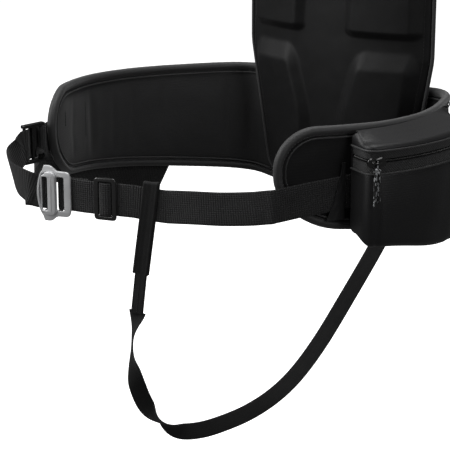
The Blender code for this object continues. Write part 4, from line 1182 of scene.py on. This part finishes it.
def make_glide():
    """Tri-glide with rounded bars and a convex middle bar behind the webbing."""
    axes = belt_frame(GLIDE_AT_X)
    front = WEB_T / 2 + 0.0003
    ring_t = 0.0026
    outer = rounded_rect(-GLIDE_L / 2, -GLIDE_H / 2, GLIDE_L / 2, GLIDE_H / 2, 0.0042, 8)
    hole = rounded_rect(-0.0082, -0.0196, 0.0082, 0.0196, 0.0015)
    at = belt_frame(GLIDE_AT_X, -(front + ring_t / 2)) @ UPRIGHT
    pieces = [plate("ring", [outer, hole], ring_t, at, 0.0010)]
    for sign in (-1, 1):
        low, high = sorted((sign * 0.0196, sign * 0.0235))
        pieces.append(bar_box("post", (-0.0100, -front - 0.001, low), (0.0100, front + 0.001, high), axes,
                              0.0006))
    pieces.append(bar_box("bar", (-0.0040, front, -0.0235), (0.0040, front + 0.0022, 0.0235), axes, 0.0009))
    place(join("tri_glide_body", *pieces), "black_plastic", "glide_gloss", body="glide", nodes=("tri_glide",))
    lift = WEB_T / 2 + 0.0006 + 0.0006
    turn = [axes @ Vector((-0.0070 * math.cos(math.radians(a)), -lift - 0.0030 * math.sin(math.radians(a)),
                           0))
            for a in range(0, 181, 12)]
    fold = tape("tri_glide_fold", turn, upright(turn), 0.0375, 0.0012, 0.0007, 0.00008)
    place(fold, "webbing", body="glide")


# ---- leg loop -------------------------------------------------------------------------------
def make_leg_loop():
    r = WEB_T / 2 + 0.0003 + LOOP_T / 2
    top = WEB_W / 2 + LOOP_SLACK
    back = [(r, -LOOP_LOW + 0.006 * i) for i in range(17)]
    path = back + [(r, top - 0.001)]
    path += [(r * math.cos(math.radians(15 * i)), top - 0.001 + r * math.sin(math.radians(15 * i)))
             for i in range(1, 12)]
    path += [(-r, top - 0.001)] + [(-y, z) for y, z in reversed(back)]
    at = belt_frame(LOOP_AT_X)
    def drift(z):
        return -LOOP_LEAN * min(max((WEB_W / 2 - z) / (WEB_W / 2 + LOOP_LOW), 0.0), 1.0)

    centres = [at @ Vector((drift(z), y, z)) for y, z in path]
    loop = tape("leg_loop_tape", centres, [BELT_DIR] * len(centres), LOOP_W * 0.95, LOOP_T, 0.0010, 0.00006,
                20, ridge=0.0007)
    place(loop, "webbing", "strap", nodes=("leg_loop",))
    stitches = Shape()
    front = Vector((BELT_DIR.y, -BELT_DIR.x, 0))
    for dx in (-0.0078, 0.0078):
        line = [at @ Vector((drift(z) + dx, -r - LOOP_T / 2, z))
                for z in np.linspace(0.010, -0.082, 24)]
        stitches.dashes(line, [front] * len(line), 0.0030, 0.0021, 0.0003)
    place(stitches.done("leg_loop_stitches"), "webbing", "thread")


# ---- hip pocket -----------------------------------------------------------------------------
def pocket_line(grow, corner=0.014, front_steps=8, arc_steps=60):
    """Plan of the pocket from its front foot round the outer face to its rear foot."""
    front_foot, rear_foot = wing_plan(POCKET_FRONT_S, 0.0120), wing_plan(POCKET_REAR_S, 0.0120)
    span = ARC_REAR - ARC_FRONT
    middle = [arc_point(ARC_FRONT + span * t / 10, grow) for t in range(11)]
    out = []
    for foot, first, second in ((front_foot, middle[0], middle[1]), (rear_foot, middle[-1], middle[-2])):
        away, side = (first - foot).normalized(), (first - second).normalized()
        foot = foot + side * grow
        base = first + side * grow
        leave, join_at = base - away * corner, first - side * corner + side * grow
        bend = [leave.lerp(base, t / 10).lerp(base.lerp(join_at, t / 10), t / 10) for t in range(11)]
        out.append([foot.lerp(leave, t / front_steps) for t in range(front_steps)] + bend)
    arc = [arc_point(ARC_FRONT + span * (0.105 + 0.79 * t / arc_steps), grow) for t in range(arc_steps + 1)]
    return out[0] + arc + list(reversed(out[1]))


def loop_outline(grow, back, count=36):
    line = resample(pocket_line(grow), 0.0026)
    inner = [wing_plan(POCKET_REAR_S + (POCKET_FRONT_S - POCKET_REAR_S) * i / count,
                       back) for i in range(count + 1)]
    return line + inner[1:-1], len(line)


def outward_normals(points):
    out = []
    for i in range(len(points)):
        t = (points[(i + 1) % len(points)] - points[i - 1]).normalized()
        out.append(Vector((t.y, -t.x, 0)))
    return out


def pocket_solid(name, levels, bulge, material, slot, nodes, wrinkle=0.0008, lift=0.0):
    """A closed fabric form through rounded levels: each level is (height, inset)."""
    outline, outer_count = loop_outline(0.0, 0.0118)
    normals = outward_normals(outline)
    centre = Vector((sum(p.x for p in outline), sum(p.y for p in outline), 0)) / len(outline)
    if (outline[10] - centre).dot(normals[10]) < 0:
        normals = [-n for n in normals]
    lows, highs = levels[0][0], levels[-1][0]
    verts, faces = [], []
    for z, inset in levels:
        t = (z - lows) / max(highs - lows, 1e-6)
        for k, (p, n) in enumerate(zip(outline, normals)):
            free = ramp(k, 0, 14) * ramp(outer_count - 1 - k, 0, 14) if k < outer_count else 0.0
            move = -inset * (1.0 if k < outer_count else 0.15)
            move += free * bulge(k / outer_count, t)
            move += free * wrinkle * noise.noise(Vector((p.x * 40, p.y * 40, z * 26 + 2)))
            foot = ramp(POCKET_CORNER_X - p.x, 0.0, 0.034) * ramp(-p.y, 0.270, 0.295)
            slope = POCKET_FOOT_RISE * foot - POCKET_REAR_DROP * ramp(p.y, -0.310, -0.200)
            lower = slope * ramp(TAPE_LOW - 0.012 - z, 0.0, 0.075)
            inner = ramp(k, 9, 1) + ramp(k, outer_count - 10, outer_count - 2)
            raised = lift * min(inner, 1.0) * t
            verts.append(Vector((p.x, p.y, z + lower + raised)) + n * move)
    size = len(outline)
    for i in range(len(levels) - 1):
        for k in range(size):
            n = (k + 1) % size
            faces.append((i * size + k, i * size + n, (i + 1) * size + n, (i + 1) * size + k))
    obj = mesh_object(name, verts, faces, angle=70)
    bm = bmesh.new()
    bm.from_mesh(obj.data)
    bmesh.ops.holes_fill(bm, edges=[e for e in bm.edges if e.is_boundary], sides=0)
    bmesh.ops.triangulate(bm, faces=[f for f in bm.faces if len(f.verts) > 4])
    bmesh.ops.recalc_face_normals(bm, faces=bm.faces)
    bm.to_mesh(obj.data)
    bm.free()
    obj.data.shade_smooth()
    obj.data.set_sharp_from_angle(angle=math.radians(60))
    place(obj, slot, material, nodes=nodes)
    return obj


def make_pocket():
    cup_top = TAPE_LOW - 0.0004

    def body_bulge(u, t):
        belly = 0.0030 * math.sin(math.pi * min(max(t, 0.0), 1.0)) ** 0.8
        fold = -0.0026 * math.exp(-((u - 0.165) / 0.012) ** 2) * ramp(0.85 - t, 0.0, 0.5)
        crease = -0.0012 * math.exp(-((u - 0.60 - 0.10 * t) / 0.03) ** 2)
        return belly + fold + crease

    low_round = [(POCKET_LOW + 0.0085 * (1 - math.cos(math.radians(a))),
                  0.0075 * (1 - math.sin(math.radians(a))))
                 for a in (0, 15, 30, 45, 60, 75, 90)]
    height = cup_top - low_round[-1][0]
    rise = [(low_round[-1][0] + height * i / 22, 0.0) for i in range(1, 22)]
    pocket_solid("pocket_bag", low_round + rise + [(cup_top - 0.0008, 0.0002), (cup_top, 0.0012)], body_bulge,
                 "pocket_nylon", "pocket_nylon", ("pocket_body",))

    def lid_bulge(u, t):
        return 0.0006 * math.sin(math.pi * t)

    lid_low = TAPE_HIGH + 0.0003
    thick = POCKET_TOP - lid_low
    levels = [(lid_low, 0.0010), (lid_low + 0.0008, 0.0)]
    levels += [(lid_low + 0.0008 + (thick - 0.0008) * math.sin(math.radians(a)),
                0.0060 * (1 - math.cos(math.radians(a)))) for a in (15, 30, 45, 60, 75, 88)]
    pocket_solid("pocket_top", levels, lid_bulge, "pocket_nylon", "pocket_nylon", ("pocket_lid",), 0.0004,
                 0.009)

    # piped seams above and below the zip
    for name, z, grow, radius in (("pocket_seam_low", TAPE_LOW - 0.0006, 0.0006, 0.0011),
                                  ("pocket_seam_high", TAPE_HIGH + 0.0008, 0.0004, 0.0010)):
        seam = Shape()
        seam.tube([p + Vector((0, 0, z)) for p in resample(pocket_line(grow), 0.003)], radius, 10)
        place(seam.done(name), "pocket_nylon", "binding")
    thread = Shape()
    for z, grow in ((TAPE_LOW - 0.0042, 0.0006), (TAPE_HIGH + 0.0034, 0.0)):
        line = resample(pocket_line(grow), 0.004)[3:-3]
        normals = outward_normals(line)
        if normals[len(line) // 2].x < 0:
            normals = [-n for n in normals]
        thread.dashes([p + Vector((0, 0, z)) for p in line], normals, 0.0034, 0.0024, 0.00030)
    place(thread.done("pocket_stitches"), "pocket_nylon", "thread")

    rows, columns = 60, 12
    start, run = POCKET_REAR_S - 0.004, POCKET_FRONT_S - POCKET_REAR_S + 0.002
    high = POCKET_TOP + 0.002
    verts = []
    for offset in (0.0085, 0.0113):
        for i in range(rows + 1):
            s = start + run * i / rows
            low = max(POCKET_LOW + 0.004, wing_edges(s, 0.0)[0] + 0.002)
            for j in range(columns + 1):
                verts.append(wing_plan(s, offset) + Vector((0, 0, low + (high - low) * j / columns)))
    place(closed_patch("pocket_backing", verts, rows, columns), "pocket_nylon", nodes=("pocket_back",))


def make_zip():
    line = pocket_line(-TAPE_T / 2 - 0.0002)[1:-1]
    low_top, high_low = ZIP_Z - ZIP_R - 0.0003, ZIP_Z + ZIP_R + 0.0003
    for name, node, low, high in (("zip_fabric_lower", "zip_tape_lower", TAPE_LOW, low_top),
                                  ("zip_fabric_upper", "zip_tape_upper", high_low, TAPE_HIGH)):
        points = [p + Vector((0, 0, (low + high) / 2)) for p in line]
        fabric = tape(name, points, upright(points), high - low, TAPE_T, 0.0009, 0.0, 12)
        place(fabric, "zip_tape", nodes=(node,))
    coil_line = resample([p + Vector((0, 0, ZIP_Z)) for p in pocket_line(-TAPE_T / 2 - 0.0002)[2:-2]], 0.0006)
    radii = [ZIP_R * (0.80 + 0.20 * math.cos(2 * math.pi * i / 3)) for i in range(len(coil_line))]
    coil = Shape()
    coil.tube(coil_line, radii, 8)
    place(coil.done("zip_teeth", 70), "black_plastic", nodes=("zip_coil",))

    at = slider_frame()
    base = 0.0018
    body = smooth_loop([(1.38 * x, 1.25 * z) for x, z in [(-0.0075, -0.0020), (-0.0050, -0.0042),
                                                          (0.0, -0.0036), (0.0050, -0.0045),
                                                          (0.0075, -0.0026),
                        (0.0075, 0.0026), (0.0050, 0.0045), (0.0, 0.0036), (-0.0050, 0.0042),
                        (-0.0075, 0.0020)]], 4)
    shell = plate("slider_shell", [body], 0.0030, at @ Matrix.Translation((0, -(base + 0.0015),
                                                                           0)) @ UPRIGHT, 0.0011)
    bridge = Shape()
    arch = [at @ Vector((x, -(base + y), 0)) for x, y in ((-0.0056, 0.0024), (-0.0048, 0.0046),
                                                          (-0.0024, 0.0056),
                                                          (0.0, 0.0059), (0.0024, 0.0056), (0.0048, 0.0046),
                                                          (0.0056, 0.0024))]
    bridge.tube(smooth_path(arch, 4), 0.0008, 10, squash=1.5)
    hoop = Shape()
    ring = []
    for i in range(25):
        a = 2 * math.pi * i / 24
        ring.append(at @ Vector((0.0, -(base + 0.0042) - 0.0019 * math.cos(a), 0.0023 * math.sin(a))))
    hoop.tube(ring, 0.00062, 8, closed=True, up=(at.to_3x3() @ Vector((1, 0, 0))))
    slider = join("zip_slider_body", shell, bridge.done("bridge"), hoop.done("hoop"))
    place(slider, "slider_gloss", body="slider", nodes=("zip_slider",))


def make_gusset():
    """Fabric from the pocket's front foot over the webbing, wider towards the wing's bottom."""
    rows, columns = 32, 10
    verts = []
    for offset in (0.0079, 0.0093):
        for i in range(rows + 1):
            z = GUSSET_LOW + (GUSSET_HIGH - GUSSET_LOW) * i / rows
            drop = max((GUSSET_HIGH - z) / (GUSSET_HIGH - GUSSET_LOW), 0.0)
            edge = GUSSET_EDGE + GUSSET_FLARE * drop ** 1.5
            for j in range(columns + 1):
                wave = 0.0004 * noise.noise(Vector((j * 0.4, z * 90, 2.0)))
                s = GUSSET_START + (edge - GUSSET_START) * j / columns
                verts.append(wing_plan(s, offset + wave) + Vector((0, 0, z)))
    place(closed_patch("pocket_side_flap", verts, rows, columns), "pocket_nylon", nodes=("pocket_gusset",))


make_panel()
make_core()
make_wing(-1, "left")
make_wing(1, "right")
make_right_webbing()
make_left_webbing()
make_lock()
make_buckle()
make_glide()
make_leg_loop()
make_pocket()
make_zip()
make_gusset()
wing_bars(-1, "left", ((0.401, -0.040, -0.0237), (0.326, -0.069, -0.0268)), -0.0056)

# CAD pieces whose shape stays: they only get a finished material
for node, material in (("frame_sheet", "black_plastic"), ("stay_left", "stay_metal"),
                       ("stay_right", "stay_metal")):
    NODES[node].data.materials.clear()
    NODES[node].data.materials.append(MATERIALS[material])
